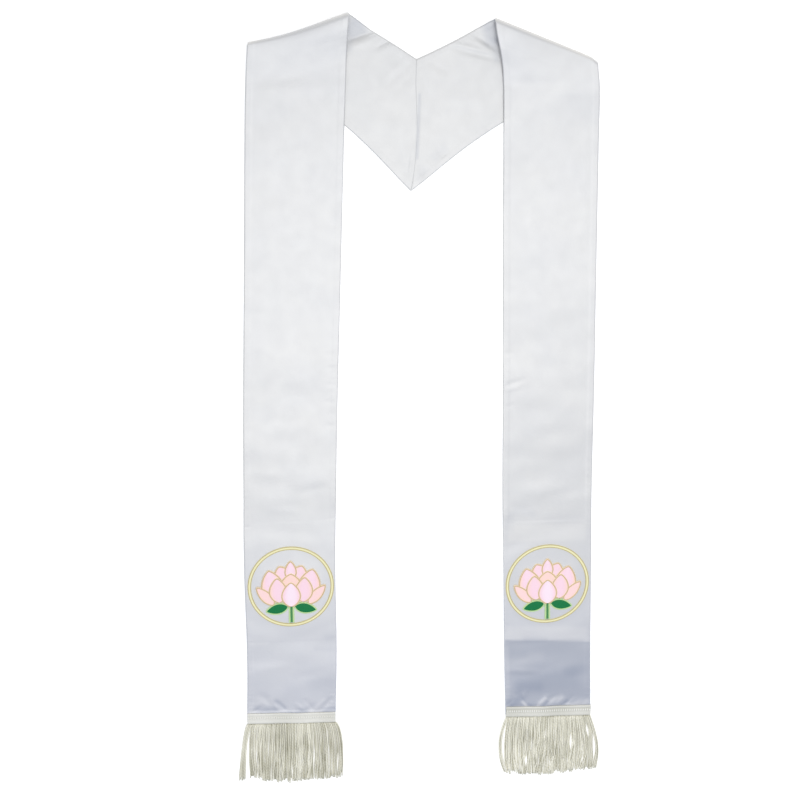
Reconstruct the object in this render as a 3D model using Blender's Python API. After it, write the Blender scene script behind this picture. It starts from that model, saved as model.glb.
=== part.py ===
"""A clergy stole laid flat: two mitred bands, each a face and a lining, turned over at the shoulders.

The stole lies on the floor at Z = 0 with its neck towards +Y. Each half starts at the centre back
seam, runs up to a soft fold at the shoulder, turns over itself and runs down to a fringed hem.
Tables and sizes are in millimetres on the floor, and MM turns them into metres.
"""

import math
import random
from collections import namedtuple

import bmesh
import bpy
from mathutils import Vector

MM = 0.001

# Cloth: each half is a face and a lining of the same width, sewn along both edges
BAND_WIDTH = 127.0
CLOTH = 1.0
GAP = 0.3
STACK = 2 * CLOTH + GAP
EDGE_THINNING = 0.4
ALLOWANCE = 8.5
ALLOWANCE_RISE = 0.35
BACKING_RISE = 0.4
BACKING_SLOPE = 3.0

# Shoulder fold: how far the cloth is lifted on the back side and settles on the front side
LIFT_REACH = 28.0
NECK_RADIUS = 5.2
SHOULDER_RADIUS = 3.0
NECK_LIFT = 2.5
NECK_LIFT_SHARE = 0.6
TURN_STEPS = 6
CREST_SKEW = 1.3
EDGE_SKEW = 0.8
CORNER_LENGTH = 20.0
DRAPE_START = 1.5
DRAPE_END = 24.0

# Centre back seam, from the nape down to the tip of the V
NAPE = Vector((20.9, 450.3))
TIP = Vector((14.2, 283.0))

# Where each half folds, how it flares at the neck, and where its hem and emblem are
Half = namedtuple(
    "Half",
    "name side neck kink neck_bend shoulder crest_bow edge_bow flare flare_length corner_inset settle"
    " backing_top backing_foot hem_inner_y hem_outer_y ring_x ring_y",
)
LEFT = Half(
    name="left",
    side=-1,
    neck=Vector((-65.8, 507.1)),
    kink=Vector((-37.0, 486.0)),
    neck_bend=Vector((-8.0, 469.3)),
    shoulder=Vector((-191.0, 471.0)),
    crest_bow=-3.7,
    edge_bow=5.2,
    flare=0.0,
    flare_length=40.0,
    corner_inset=3.0,
    settle=58.0,
    backing_top=-171.0,
    backing_foot=-349.0,
    hem_inner_y=-477.0,
    hem_outer_y=-473.0,
    ring_x=-153.6,
    ring_y=-266.2,
)
RIGHT = Half(
    name="right",
    side=1,
    neck=Vector((120.3, 499.8)),
    kink=Vector((94.0, 485.6)),
    neck_bend=Vector((63.0, 468.5)),
    shoulder=Vector((256.5, 447.0)),
    crest_bow=0.3,
    edge_bow=6.0,
    flare=13.0,
    flare_length=45.0,
    corner_inset=4.6,
    settle=50.0,
    backing_top=-183.0,
    backing_foot=-368.0,
    hem_inner_y=-483.0,
    hem_outer_y=-487.0,
    ring_x=211.0,
    ring_y=-278.3,
)

# The middle of each front band, from the shoulder down to the hem
Way = namedtuple("Way", "y left_x right_x")
FRONT_WAY = (
    Way(520.0, -128.0, 195.8),
    Way(420.0, -133.2, 196.9),
    Way(270.0, -138.8, 199.4),
    Way(140.0, -143.3, 202.0),
    Way(0.0, -148.4, 204.9),
    Way(-140.0, -152.2, 207.0),
    Way(-220.0, -154.2, 209.6),
    Way(-300.0, -154.3, 211.9),
    Way(-370.0, -154.2, 214.0),
    Way(-450.0, -156.4, 217.0),
    Way(-500.0, -158.0, 219.0),
)

# Fractions of the back and of the front at which a section is taken
BACK_SECTIONS = (0.0, 0.2, 0.4, 0.6, 0.8)
UNDER_SECTIONS = (0.0, 0.35, 0.7)
OVER_SECTIONS = (0.3, 0.65, 1.0)
FRONT_SECTIONS = (0.012, 0.026, 0.041, 0.058, 0.076, 0.096, 0.118, 0.145, 0.18, 0.25, 0.34, 0.45, 0.56)
HEM_SECTIONS = (0.975, 1.0)
COLUMNS = (0.0, 1.5, 9.5, 27.0, 45.0, 63.5, 82.0, 100.0, 117.5, 125.5, 127.0)

# Fringe: a woven header laid over the hem, with two rows of cords
HEADER_HEIGHT = 16.0
HEADER_THICKNESS = 2.0
HEADER_OVERHANG = 3.0
HEADER_INSET = 0.5
FRINGE_LENGTH = 90.0
CORDS_PER_ROW = 46
CELL_INSET = 0.14
CORD_WIDTH = 1.9
CORD_HEIGHT = 1.1
CORD_STEPS = (0.16, 0.45, 0.75, 1.0)
CORD_DROP = 0.32
TIP_TAPER = 0.7
ROW_REST = (2.6, 1.05)
CORD_WANDER = 0.12
LOCK_CORDS = (3, 6)
LOCK_PULL = 0.2

# How far the cords have spread sideways, by their place along the header from the photo's left
Spread = namedtuple("Spread", "at middle tip length")
FRINGE_SPREAD = {
    "left": (
        Spread(0.00, -11.5, -14.5, 0.97),
        Spread(0.06, -10.5, -12.5, 0.99),
        Spread(0.09, -5.0, -5.5, 0.98),
        Spread(0.30, -2.0, -2.5, 1.00),
        Spread(0.55, 0.5, 1.0, 1.03),
        Spread(0.80, 4.0, 5.5, 0.99),
        Spread(0.92, 8.0, 9.5, 0.96),
        Spread(0.95, 10.5, 12.0, 0.95),
        Spread(1.00, 13.0, 15.0, 0.93),
    ),
    "right": (
        Spread(0.00, -9.5, 1.5, 0.97),
        Spread(0.02, -8.5, 1.8, 0.98),
        Spread(0.05, -3.0, 2.0, 0.98),
        Spread(0.40, 0.0, 2.0, 1.03),
        Spread(0.70, 2.5, 4.0, 1.00),
        Spread(0.74, 5.0, 6.5, 0.99),
        Spread(0.88, 9.0, 10.5, 0.97),
        Spread(0.92, 12.0, 13.5, 0.95),
        Spread(1.00, 15.0, 17.0, 0.93),
    ),
}

# Emblem: a ring round a lotus, measured from the ring's centre
RING_RADIUS = 60.2
RING_WIDTH = 5.0
RING_HEIGHT = 0.8
RING_STEPS = 48
PETAL_HEIGHT = 0.8
PETAL_STEP = 0.15
PETAL_POINTS = 7
PETAL_SKEW = 0.85
PETAL_FULLNESS = 0.7
PETAL_ROOT = 0.15
Petal = namedtuple("Petal", "name layer root_x root_y tip_x tip_y half_width")
PETALS = (
    Petal("crown", 0, 0.0, 10.0, 0.0, 39.0, 8.5),
    Petal("crown_side", 1, 6.0, 2.0, 15.5, 32.0, 10.5),
    Petal("shoulder", 2, 20.0, -20.0, 30.0, 24.5, 13.5),
    Petal("wing", 3, 21.0, -25.0, 47.5, 1.5, 7.8),
    Petal("middle", 4, 0.0, -10.0, 0.0, 19.0, 12.5),
    Petal("inner", 5, 16.0, -25.0, 19.0, 13.5, 10.5),
    Petal("heart", 6, 0.0, -29.5, 0.0, 5.5, 13.0),
)
LEAF_HEIGHT = 0.8
Leaf = namedtuple("Leaf", "root_x root_y tip_x tip_y half_width")
LEAF = Leaf(1.0, -31.8, 34.5, -36.5, 6.4)
STEM_TOP = -30.2
STEM_FOOT = -54.3
STEM_WIDTH = 3.6

# Colours
SATIN = (0.86, 0.865, 0.90)
SATIN_BACK = (0.84, 0.845, 0.875)
IVORY = (0.66, 0.65, 0.56)
GOLD = (0.72, 0.60, 0.30)
PINK = (0.93, 0.68, 0.76)
GREEN = (0.01, 0.30, 0.12)


def smooth(value):
    """A smooth step from 0 to 1 as value goes from 0 to 1."""
    value = min(1.0, max(0.0, value))
    return value * value * (3 - 2 * value)


def mix(a, b, share):
    return a + (b - a) * share


def way_middle(half, y):
    """The middle of the front band at a height on the floor, on a smooth curve through FRONT_WAY."""
    heights = [row.y for row in FRONT_WAY]
    middles = [row.left_x if half is LEFT else row.right_x for row in FRONT_WAY]
    last = len(heights) - 1
    i = next((i for i in range(last) if y >= heights[i + 1]), last - 1)

    def slope(j):
        before = max(0, j - 1)
        after = min(last, j + 1)
        return (middles[after] - middles[before]) / (heights[after] - heights[before])

    run = heights[i + 1] - heights[i]
    share = (y - heights[i]) / run
    start = middles[i] + slope(i) * run * share
    end = middles[i + 1] - slope(i + 1) * run * (1 - share)
    return mix(start, end, smooth(share))


def spread_at(half, column, at):
    """A column of the fringe's spread at a place along the header."""
    rows = FRINGE_SPREAD[half.name]
    for before, after in zip(rows, rows[1:]):
        if at <= after.at:
            share = (at - before.at) / (after.at - before.at)
            return mix(getattr(before, column), getattr(after, column), share)
    return getattr(rows[-1], column)


def crest_across(half):
    """The unit direction along the shoulder fold and the one from it towards the hem."""
    along = (half.shoulder - half.neck).normalized()
    down = Vector((along.y, -along.x)) * half.side
    return along, down


def crest_bow(half, across):
    """How far the fold bows out of the straight line from the neck to the shoulder."""
    return half.crest_bow * math.sin(math.pi * across**CREST_SKEW)


def turn_radius(across):
    """The radius of the fold's roll, widest at the neck."""
    return mix(NECK_RADIUS, SHOULDER_RADIUS, smooth(across))


def neck_lift(across):
    """How far the fold's underside stands off the floor."""
    return NECK_LIFT * (1 - smooth(across / NECK_LIFT_SHARE))


def front_edge(half, y, across):
    """A point of the front band at height y on the floor, across from 0 at the neck to 1 outside."""
    x = way_middle(half, y) + half.side * BAND_WIDTH * (across - 0.5)
    below_neck = (half.neck.y - y) / half.flare_length
    x -= half.side * half.flare * (1 - across) * math.exp(-below_neck * below_neck)
    below_shoulder = (half.shoulder.y - y) / CORNER_LENGTH
    x -= half.side * half.corner_inset * across * math.exp(-below_shoulder * below_shoulder)
    return Vector((x, y))


def under_point(half, distance, across):
    """The back layer at a distance from the fold, up to LIFT_REACH."""
    down = crest_across(half)[1]
    inner = half.neck + (half.kink - half.neck) * (distance / LIFT_REACH)
    edge = TIP - half.shoulder
    outer = half.shoulder + edge * (distance / edge.dot(down))
    return inner.lerp(outer, across)


def over_point(half, distance, across):
    """The front layer at a distance from the fold, up to LIFT_REACH."""
    drop = distance / -crest_across(half)[1].y
    inner = front_edge(half, half.neck.y - drop, 0.0)
    outer = front_edge(half, half.shoulder.y - drop, 1.0)
    return inner.lerp(outer, across)


def edge_rise(half, share):
    """How far the lower edge of the back panel bows towards the neck, at a share of its length."""
    along = (half.shoulder - TIP).normalized()
    towards_neck = Vector((-along.y, along.x)) * half.side
    return towards_neck * half.edge_bow * math.sin(math.pi * share**EDGE_SKEW) ** 2


def back_point(half, share, across):
    """The back panel between the centre seam at share 0 and the start of the lift at share 1."""
    bend = half.neck_bend
    inner = NAPE.lerp(bend, share).lerp(bend.lerp(half.kink, share), share)
    outer = TIP.lerp(under_point(half, LIFT_REACH, 1.0), share) + edge_rise(half, share)
    seam_side = Vector((half.side * GAP / 2, 0)) * (1 - share)
    return inner.lerp(outer, across) + seam_side


def front_point(half, share, across):
    """The front band between LIFT_REACH from the fold at share 0 and the hem at share 1."""
    drop = LIFT_REACH / -crest_across(half)[1].y
    inner = front_edge(half, mix(half.neck.y - drop, half.hem_inner_y, share), 0.0)
    outer = front_edge(half, mix(half.shoulder.y - drop, half.hem_outer_y, share), 1.0)
    return inner.lerp(outer, across)


def resting_height(half, point):
    """Half the stack on the floor, or on top of the back panel where that lies underneath."""
    edge = (half.shoulder - TIP).normalized()
    outside = (point - TIP).cross(edge) * half.side
    over = 1 - smooth((outside - DRAPE_START) / (DRAPE_END - DRAPE_START))
    return STACK / 2 + (STACK + ALLOWANCE_RISE + GAP) * over


def bowed(half, point, distance, across):
    """Moves a point near the fold with the fold's own bow, which fades out over LIFT_REACH."""
    fade = 1 - smooth(distance / LIFT_REACH)
    return point - crest_across(half)[1] * crest_bow(half, across) * fade


def under_surface(half, distance, across):
    radius = turn_radius(across)
    height = STACK / 2 + neck_lift(across) * (1 - smooth((distance - radius) / (LIFT_REACH - radius)))
    return bowed(half, under_point(half, distance, across), distance, across).to_3d() + Vector((0, 0, height))


def over_height(half, point, distance, across):
    radius = turn_radius(across)
    top = STACK / 2 + neck_lift(across) + 2 * radius
    rest = resting_height(half, point)
    return rest + (top - rest) * (1 - smooth((distance - radius) / (half.settle - radius)))


def over_surface(half, distance, across):
    point = bowed(half, over_point(half, distance, across), distance, across)
    return point.to_3d() + Vector((0, 0, over_height(half, point, distance, across)))


def turn_surface(half, angle, across):
    """The round of the fold, from -90 degrees underneath to 90 degrees on top."""
    radius = turn_radius(across)
    distance = radius * (1 - math.cos(angle))
    under = under_point(half, distance, across)
    over = over_point(half, distance, across)
    point = bowed(half, under.lerp(over, 0.5 + angle / math.pi), distance, across)
    height = STACK / 2 + neck_lift(across) + radius * (1 + math.sin(angle))
    return point.to_3d() + Vector((0, 0, height))


def front_surface(half, share, across):
    point = front_point(half, share, across)
    distance = (point - half.neck).dot(crest_across(half)[1])
    point = bowed(half, point, distance, across)
    return point.to_3d() + Vector((0, 0, over_height(half, point, distance, across)))


def back_surface(half, share, across):
    return back_point(half, share, across).to_3d() + Vector((0, 0, STACK / 2))


def travel_surface(half, travel, across):
    """The middle of the cloth: travel runs 0 to 1 on the back, to 2 under the fold, 3 round it,
    4 over it and 5 down the front."""
    if travel <= 1:
        return back_surface(half, travel, across)
    if travel <= 2:
        return under_surface(half, mix(LIFT_REACH, turn_radius(across), travel - 1), across)
    if travel <= 3:
        return turn_surface(half, (travel - 2.5) * math.pi, across)
    if travel <= 4:
        return over_surface(half, mix(turn_radius(across), LIFT_REACH, travel - 3), across)
    return front_surface(half, travel - 4, across)


def face_side(half, travel, across):
    """The unit normal of the cloth, pointing to the side of the satin face."""
    step = 0.004
    ahead = travel_surface(half, min(5.0, travel + step), across)
    behind = travel_surface(half, max(0.0, travel - step), across)
    outer = travel_surface(half, travel, min(1.0, across + step))
    inner = travel_surface(half, travel, max(0.0, across - step))
    return ((ahead - behind).cross(outer - inner) * half.side).normalized()


def front_share(half, y):
    """How far down the front band its middle reaches a height y on the floor."""
    top = front_point(half, 0.0, 0.5).y
    foot = front_point(half, 1.0, 0.5).y
    return (top - y) / (top - foot)


def stations(half):
    """The travel of each section, from the centre seam to the hem."""
    found = list(BACK_SECTIONS)
    found += [1 + share for share in UNDER_SECTIONS]
    found += [2 + step / TURN_STEPS for step in range(TURN_STEPS + 1)]
    found += [3 + share for share in OVER_SECTIONS]
    found += [4 + share for share in FRONT_SECTIONS]
    for edge in (half.backing_top, half.backing_foot):
        found.append(4 + front_share(half, edge + BACKING_SLOPE / 2))
        found.append(4 + front_share(half, edge - BACKING_SLOPE / 2))
    found += [4 + share for share in HEM_SECTIONS]
    return sorted(found)


def edge_distance(across):
    return BAND_WIDTH * min(across, 1 - across)


def backing_rise(half, travel, across):
    """The stiff backing of the embroidery lifts the face inside the seam allowances."""
    if travel <= 4 or edge_distance(across) < ALLOWANCE:
        return 0.0
    y = mix(front_point(half, 0.0, 0.5).y, front_point(half, 1.0, 0.5).y, travel - 4)
    above = smooth((half.backing_top + BACKING_SLOPE / 2 - y) / BACKING_SLOPE)
    below = smooth((y - half.backing_foot + BACKING_SLOPE / 2) / BACKING_SLOPE)
    return BACKING_RISE * above * below


def visible_rise(travel, across, shows_on_back):
    """The seam allowance inside the edge shows on the upper side of the cloth."""
    on_back = 1 - smooth((travel - 2) / 0.5)
    shown = on_back if shows_on_back else 1 - on_back
    edge = edge_distance(across)
    if edge < 1.0:
        return -EDGE_THINNING
    return ALLOWANCE_RISE * shown if edge < ALLOWANCE else 0.0


def face_offsets(half, travel, across):
    """How far the inner and the outer side of the face lie from the middle of the two layers."""
    rise = visible_rise(travel, across, False) + backing_rise(half, travel, across)
    return GAP / 2, GAP / 2 + CLOTH + rise


def lining_offsets(half, travel, across):
    rise = visible_rise(travel, across, True)
    return -GAP / 2, -GAP / 2 - CLOTH - rise


def cloth_wall(half, offsets):
    """One layer of cloth as a closed wall: a ring of points round each section, joined to the next."""
    mesh = bmesh.new()
    rings = []
    for travel in stations(half):
        inside = []
        outside = []
        for column in COLUMNS:
            across = column / BAND_WIDTH
            middle = travel_surface(half, travel, across)
            normal = face_side(half, travel, across)
            near, far = offsets(half, travel, across)
            inside.append(mesh.verts.new((middle + normal * near) * MM))
            outside.append(mesh.verts.new((middle + normal * far) * MM))
        rings.append(inside + outside[::-1])
    count = len(rings[0])
    for ring, following in zip(rings, rings[1:]):
        for i in range(count):
            j = (i + 1) % count
            mesh.faces.new((ring[i], ring[j], following[j], following[i]))
    half_count = count // 2
    for ring in (rings[0], rings[-1]):
        for i in range(half_count - 1):
            mesh.faces.new((ring[i], ring[i + 1], ring[count - 2 - i], ring[count - 1 - i]))
    bmesh.ops.triangulate(mesh, faces=mesh.faces, quad_method="FIXED")
    bmesh.ops.recalc_face_normals(mesh, faces=mesh.faces)
    return mesh


def face_top(half, share, across):
    """A point on the satin face of the front band."""
    travel = 4 + share
    far = face_offsets(half, travel, across)[1]
    return front_surface(half, share, across) + face_side(half, travel, across) * far


def cord_shift(half, at, share):
    """How far a cord has moved sideways at a share of its length."""
    middle = spread_at(half, "middle", at)
    tip = spread_at(half, "tip", at)
    return middle * 4 * share * (1 - share) + tip * share * (2 * share - 1)


def header_frame(half):
    """The header's outer lower corner, its direction towards the neck side, and the way up the band."""
    outer = front_point(half, 1.0, 1.0)
    inner = front_point(half, 1.0, 0.0)
    across = (inner - outer).normalized()
    up = Vector((-across.y, across.x))
    if up.y < 0:
        up.negate()
    foot = outer + across * HEADER_INSET - up * HEADER_OVERHANG
    return foot, across, up


def header_block(mesh, half):
    """The header as a grid of cells on its lower edge: returns those faces by row and place."""
    foot, across, up = header_frame(half)
    width = BAND_WIDTH - 2 * HEADER_INSET
    floor = STACK + ALLOWANCE_RISE + GAP
    heights = (floor, floor + HEADER_THICKNESS / 2, floor + HEADER_THICKNESS)
    grid = []
    for height in heights:
        row = []
        for i in range(CORDS_PER_ROW + 1):
            spot = foot + across * (width * i / CORDS_PER_ROW)
            row.append(mesh.verts.new(spot.to_3d() + Vector((0, 0, height))))
        grid.append(row)
    cells = []
    for low, high in zip(grid, grid[1:]):
        cells.append([
            mesh.faces.new((low[i], low[i + 1], high[i + 1], high[i])) for i in range(CORDS_PER_ROW)
        ])
    rim = grid[0] + [grid[1][-1]] + grid[2][::-1] + [grid[1][0]]
    rise = up.to_3d() * HEADER_HEIGHT
    back = [mesh.verts.new(vert.co + rise) for vert in rim]
    for i in range(len(rim)):
        j = (i + 1) % len(rim)
        mesh.faces.new((rim[i], rim[j], back[j], back[i]))
    mesh.faces.new(back)
    return cells


def lock_pulls(chance):
    """How far each cord of a row leans at its tip towards the middle of its lock."""
    pitch = (BAND_WIDTH - 2 * HEADER_INSET) / CORDS_PER_ROW
    pulls = []
    while len(pulls) < CORDS_PER_ROW:
        count = chance.randint(*LOCK_CORDS)
        pulls += [LOCK_PULL * pitch * ((count - 1) / 2 - i) for i in range(count)]
    return pulls[:CORDS_PER_ROW]


def grow_cord(mesh, face, half, at, rest, pull, chance):
    """Draws one cord out of its cell: four sides, bent outwards and down to just above the floor."""
    across, up = header_frame(half)[1:]
    side_way = across * half.side * -1
    root = face.calc_center_median()
    corners = [
        (math.copysign(1, (vert.co - root).xy.dot(side_way)), math.copysign(1, vert.co.z - root.z))
        for vert in face.verts
    ]
    length = FRINGE_LENGTH * spread_at(half, "length", at) * chance.uniform(0.95, 1.0)
    wander = chance.uniform(-CORD_WANDER, CORD_WANDER)
    for step in CORD_STEPS:
        face = bmesh.ops.extrude_discrete_faces(mesh, faces=[face])["faces"][0]
        shift = cord_shift(half, at, step) + wander * step + pull * step * step
        drop = smooth(step / CORD_DROP)
        middle = root + Vector((shift, 0, mix(root.z, rest, drop) - root.z)) - up.to_3d() * length * step
        taper = TIP_TAPER if step == 1.0 else 1.0
        for vert, (sideways, upwards) in zip(face.verts, corners):
            offset = side_way.to_3d() * (sideways * CORD_WIDTH / 2) + Vector((0, 0, upwards * CORD_HEIGHT / 2))
            vert.co = middle + offset * taper


def fringe(half):
    """The header and its cords as one body: each cord grows from its own cell of the lower edge."""
    mesh = bmesh.new()
    rows = header_block(mesh, half)
    chance = random.Random(11 if half.side > 0 else 7)
    for cells, rest in zip(reversed(rows), ROW_REST):
        pulls = lock_pulls(chance)
        for i, cell in enumerate(cells):
            bmesh.ops.inset_individual(mesh, faces=[cell], thickness=CELL_INSET)
            from_outside = (i + 0.5) / CORDS_PER_ROW
            at = 1 - from_outside if half is RIGHT else from_outside
            pull = -half.side * pulls[i]
            grow_cord(mesh, cell, half, at, rest, pull, chance)
    bmesh.ops.recalc_face_normals(mesh, faces=mesh.faces)
    bmesh.ops.scale(mesh, vec=(MM, MM, MM), verts=mesh.verts)
    return mesh


def emblem_floor(half):
    """The height of the emblem's underside, just above the face on its backing."""
    return face_top(half, front_share(half, half.ring_y), 0.5).z + GAP


def emblem_turn(half, x, y):
    """A point of the emblem, which is set square to the band, on the floor."""
    above = front_edge(half, half.ring_y + RING_RADIUS, 0.5)
    below = front_edge(half, half.ring_y - RING_RADIUS, 0.5)
    up = (above - below).normalized()
    across = Vector((up.y, -up.x))
    return Vector((half.ring_x, half.ring_y)) + across * x + up * y


def plate(half, outline, height):
    """A flat plate on the emblem's floor, from an outline measured from the ring's centre."""
    mesh = bmesh.new()
    floor = emblem_floor(half)
    corners = [
        mesh.verts.new((emblem_turn(half, x, y).to_3d() + Vector((0, 0, floor))) * MM) for x, y in outline
    ]
    base = mesh.faces.new(corners)
    raised = bmesh.ops.extrude_face_region(mesh, geom=[base])["geom"]
    top = [item for item in raised if isinstance(item, bmesh.types.BMVert)]
    bmesh.ops.translate(mesh, vec=(0, 0, height * MM), verts=top)
    bmesh.ops.recalc_face_normals(mesh, faces=mesh.faces)
    return mesh


def petal_outline(petal, mirrored):
    """A pointed oval from its root to its tip and back."""
    root = Vector((petal.root_x, petal.root_y))
    tip = Vector((petal.tip_x, petal.tip_y))
    along = tip - root
    aside = Vector((along.y, -along.x)).normalized() * petal.half_width
    points = []
    for i in range(PETAL_POINTS):
        share = (i + PETAL_ROOT) / PETAL_POINTS
        width = math.sin(math.pi * share**PETAL_SKEW) ** PETAL_FULLNESS
        points.append((share, width))
    outline = [root + along * share + aside * width for share, width in points] + [tip]
    outline += [root + along * share - aside * width for share, width in reversed(points)]
    return [(-point.x if mirrored else point.x, point.y) for point in outline]


def ring(half):
    """The flat gold ring round the emblem."""
    mesh = bmesh.new()
    floor = emblem_floor(half)
    centre = emblem_turn(half, 0, 0).to_3d() + Vector((0, 0, floor))
    loops = []
    for radius, height in (
        (RING_RADIUS, 0.0),
        (RING_RADIUS, RING_HEIGHT),
        (RING_RADIUS - RING_WIDTH, RING_HEIGHT),
        (RING_RADIUS - RING_WIDTH, 0.0),
    ):
        loop = []
        for i in range(RING_STEPS):
            angle = 2 * math.pi * i / RING_STEPS
            spoke = Vector((math.cos(angle) * radius, math.sin(angle) * radius, height))
            loop.append(mesh.verts.new((centre + spoke) * MM))
        loops.append(loop)
    for loop, following in zip(loops, loops[1:] + loops[:1]):
        for i in range(RING_STEPS):
            j = (i + 1) % RING_STEPS
            mesh.faces.new((loop[i], loop[j], following[j], following[i]))
    bmesh.ops.recalc_face_normals(mesh, faces=mesh.faces)
    return mesh


def paint(name, colour, roughness, metallic):
    material = bpy.data.materials.new(name)
    material.use_nodes = True
    shader = material.node_tree.nodes["Principled BSDF"]
    shader.inputs["Base Color"].default_value = (*colour, 1.0)
    shader.inputs["Roughness"].default_value = roughness
    shader.inputs["Metallic"].default_value = metallic
    material.diffuse_color = (*colour, 1.0)
    return material


def place(name, mesh, material):
    """Makes one named object of a bmesh."""
    data = bpy.data.meshes.new(name)
    mesh.to_mesh(data)
    mesh.free()
    data.materials.append(material)
    made = bpy.data.objects.new(name, data)
    bpy.context.scene.collection.objects.link(made)
    return made


def join_to(base, helpers, name):
    """Unites helper shapes with a base object."""
    group = bpy.data.collections.new(name)
    bpy.context.scene.collection.children.link(group)
    for helper in helpers:
        bpy.context.scene.collection.objects.unlink(helper)
        group.objects.link(helper)
        helper.hide_render = True
        helper.display_type = "WIRE"
    union = base.modifiers.new("join", "BOOLEAN")
    union.operation = "UNION"
    union.operand_type = "COLLECTION"
    union.collection = group
    union.solver = "EXACT"


def lotus(half, material):
    """Eleven overlapping petals in rising layers, united."""
    shapes = []
    for petal in PETALS:
        height = PETAL_HEIGHT + PETAL_STEP * petal.layer
        for mirrored in (False, True) if petal.tip_x else (False,):
            outline = petal_outline(petal, mirrored)
            name = f"{petal.name}_{half.name}_{int(mirrored)}"
            shapes.append(place(name, plate(half, outline, height), material))
    shapes[0].name = f"lotus_{half.name}"
    join_to(shapes[0], shapes[1:], f"petals_{half.name}")


def leaves(half, material):
    """Two leaves on a short stem, united."""
    half_stem = STEM_WIDTH / 2
    outline = [(-half_stem, STEM_FOOT), (half_stem, STEM_FOOT), (half_stem, STEM_TOP), (-half_stem, STEM_TOP)]
    stem = place(f"leaves_{half.name}", plate(half, outline, LEAF_HEIGHT), material)
    blades = []
    for mirrored in (False, True):
        outline = petal_outline(LEAF, mirrored)
        name = f"blade_{half.name}_{int(mirrored)}"
        blades.append(place(name, plate(half, outline, LEAF_HEIGHT), material))
    join_to(stem, blades, f"blades_{half.name}")


def centre_on_origin():
    """Moves every object so that the middle of the whole stands at the origin."""
    bpy.context.view_layer.update()
    corners = [
        made.matrix_world @ Vector(corner)
        for made in bpy.context.scene.objects
        if not made.hide_render
        for corner in made.bound_box
    ]
    middle_x = (min(c.x for c in corners) + max(c.x for c in corners)) / 2
    middle_y = (min(c.y for c in corners) + max(c.y for c in corners)) / 2
    for made in bpy.data.objects:
        made.location = (-middle_x, -middle_y, 0)


def main():
    for old in list(bpy.data.objects):
        bpy.data.objects.remove(old)
    satin = paint("satin", SATIN, 0.35, 0.0)
    satin_back = paint("satin_lining", SATIN_BACK, 0.45, 0.0)
    ivory = paint("fringe_ivory", IVORY, 0.7, 0.0)
    gold = paint("gold_thread", GOLD, 0.4, 0.6)
    pink = paint("petal_thread", PINK, 0.5, 0.0)
    green = paint("leaf_thread", GREEN, 0.5, 0.0)
    for half in (LEFT, RIGHT):
        place(f"face_{half.name}", cloth_wall(half, face_offsets), satin)
        place(f"lining_{half.name}", cloth_wall(half, lining_offsets), satin_back)
        place(f"fringe_{half.name}", fringe(half), ivory)
        place(f"ring_{half.name}", ring(half), gold)
        lotus(half, pink)
        leaves(half, green)
    centre_on_origin()


main()
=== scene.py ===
"""The finish of a clergy stole laid flat: satin shells, corded fringe and a stitched lotus on each band.

Tables and sizes are in millimetres on the floor, as the stole was laid out, and MM turns them into
metres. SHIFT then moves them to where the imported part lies.
"""

import math
import random
from collections import namedtuple

import bmesh
import bpy
import numpy as np
from mathutils import Matrix, Vector


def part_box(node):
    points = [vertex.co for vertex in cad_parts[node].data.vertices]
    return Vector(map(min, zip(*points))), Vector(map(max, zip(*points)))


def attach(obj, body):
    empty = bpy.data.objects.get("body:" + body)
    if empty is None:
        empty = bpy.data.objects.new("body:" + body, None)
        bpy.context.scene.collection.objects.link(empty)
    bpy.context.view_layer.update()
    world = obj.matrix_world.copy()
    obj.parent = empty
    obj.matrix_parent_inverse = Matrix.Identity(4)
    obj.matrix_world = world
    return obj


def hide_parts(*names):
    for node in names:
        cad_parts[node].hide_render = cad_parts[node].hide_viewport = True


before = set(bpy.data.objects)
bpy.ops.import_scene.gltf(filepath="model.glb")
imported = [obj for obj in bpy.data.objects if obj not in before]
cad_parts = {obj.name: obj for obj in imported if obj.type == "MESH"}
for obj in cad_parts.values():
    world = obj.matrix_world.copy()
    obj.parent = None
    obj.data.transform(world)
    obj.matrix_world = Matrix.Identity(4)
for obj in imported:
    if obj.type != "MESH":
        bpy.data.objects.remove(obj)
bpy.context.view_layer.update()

MM = 0.001

# Cloth: each half is a face and a lining of the same width, sewn along both edges
BAND_WIDTH = 127.0
CLOTH = 1.0
GAP = 0.3
STACK = 2 * CLOTH + GAP
ALLOWANCE = 8.5
ALLOWANCE_RISE = 0.35
SHOWN_ALLOWANCE = 0.16
SHOWN_BACKING = {"left": 0.07, "right": 0.2}
BACKING_SLOPE = 5.0
STEP_SLOPE = 3.4

# Travel along the cloth from the centre seam at 0: where it lifts under the fold, turns round it,
# comes over it, runs down the front and ends at the hem
LIFT, TURN, OVER, FRONT, HEM = 1, 2, 3, 4, 5
MID_TURN = 2.5

# Shoulder fold
LIFT_REACH = 28.0
NECK_RADIUS = 5.2
SHOULDER_RADIUS = 3.0
NECK_LIFT = 2.5
NECK_LIFT_SHARE = 0.6
CREST_SKEW = 1.3
EDGE_SKEW = 0.8
CORNER_LENGTH = 40.0
CORNER_DROP = {"left": 0.4, "right": 3.8}
CORNER_ROUND = 0.11
DRAPE_START = 0.5
DRAPE_END = 80.0

# Centre back seam, from the nape down to the tip of the V
NAPE = Vector((20.9, 450.3))
TIP = Vector((14.2, 283.0))

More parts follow.
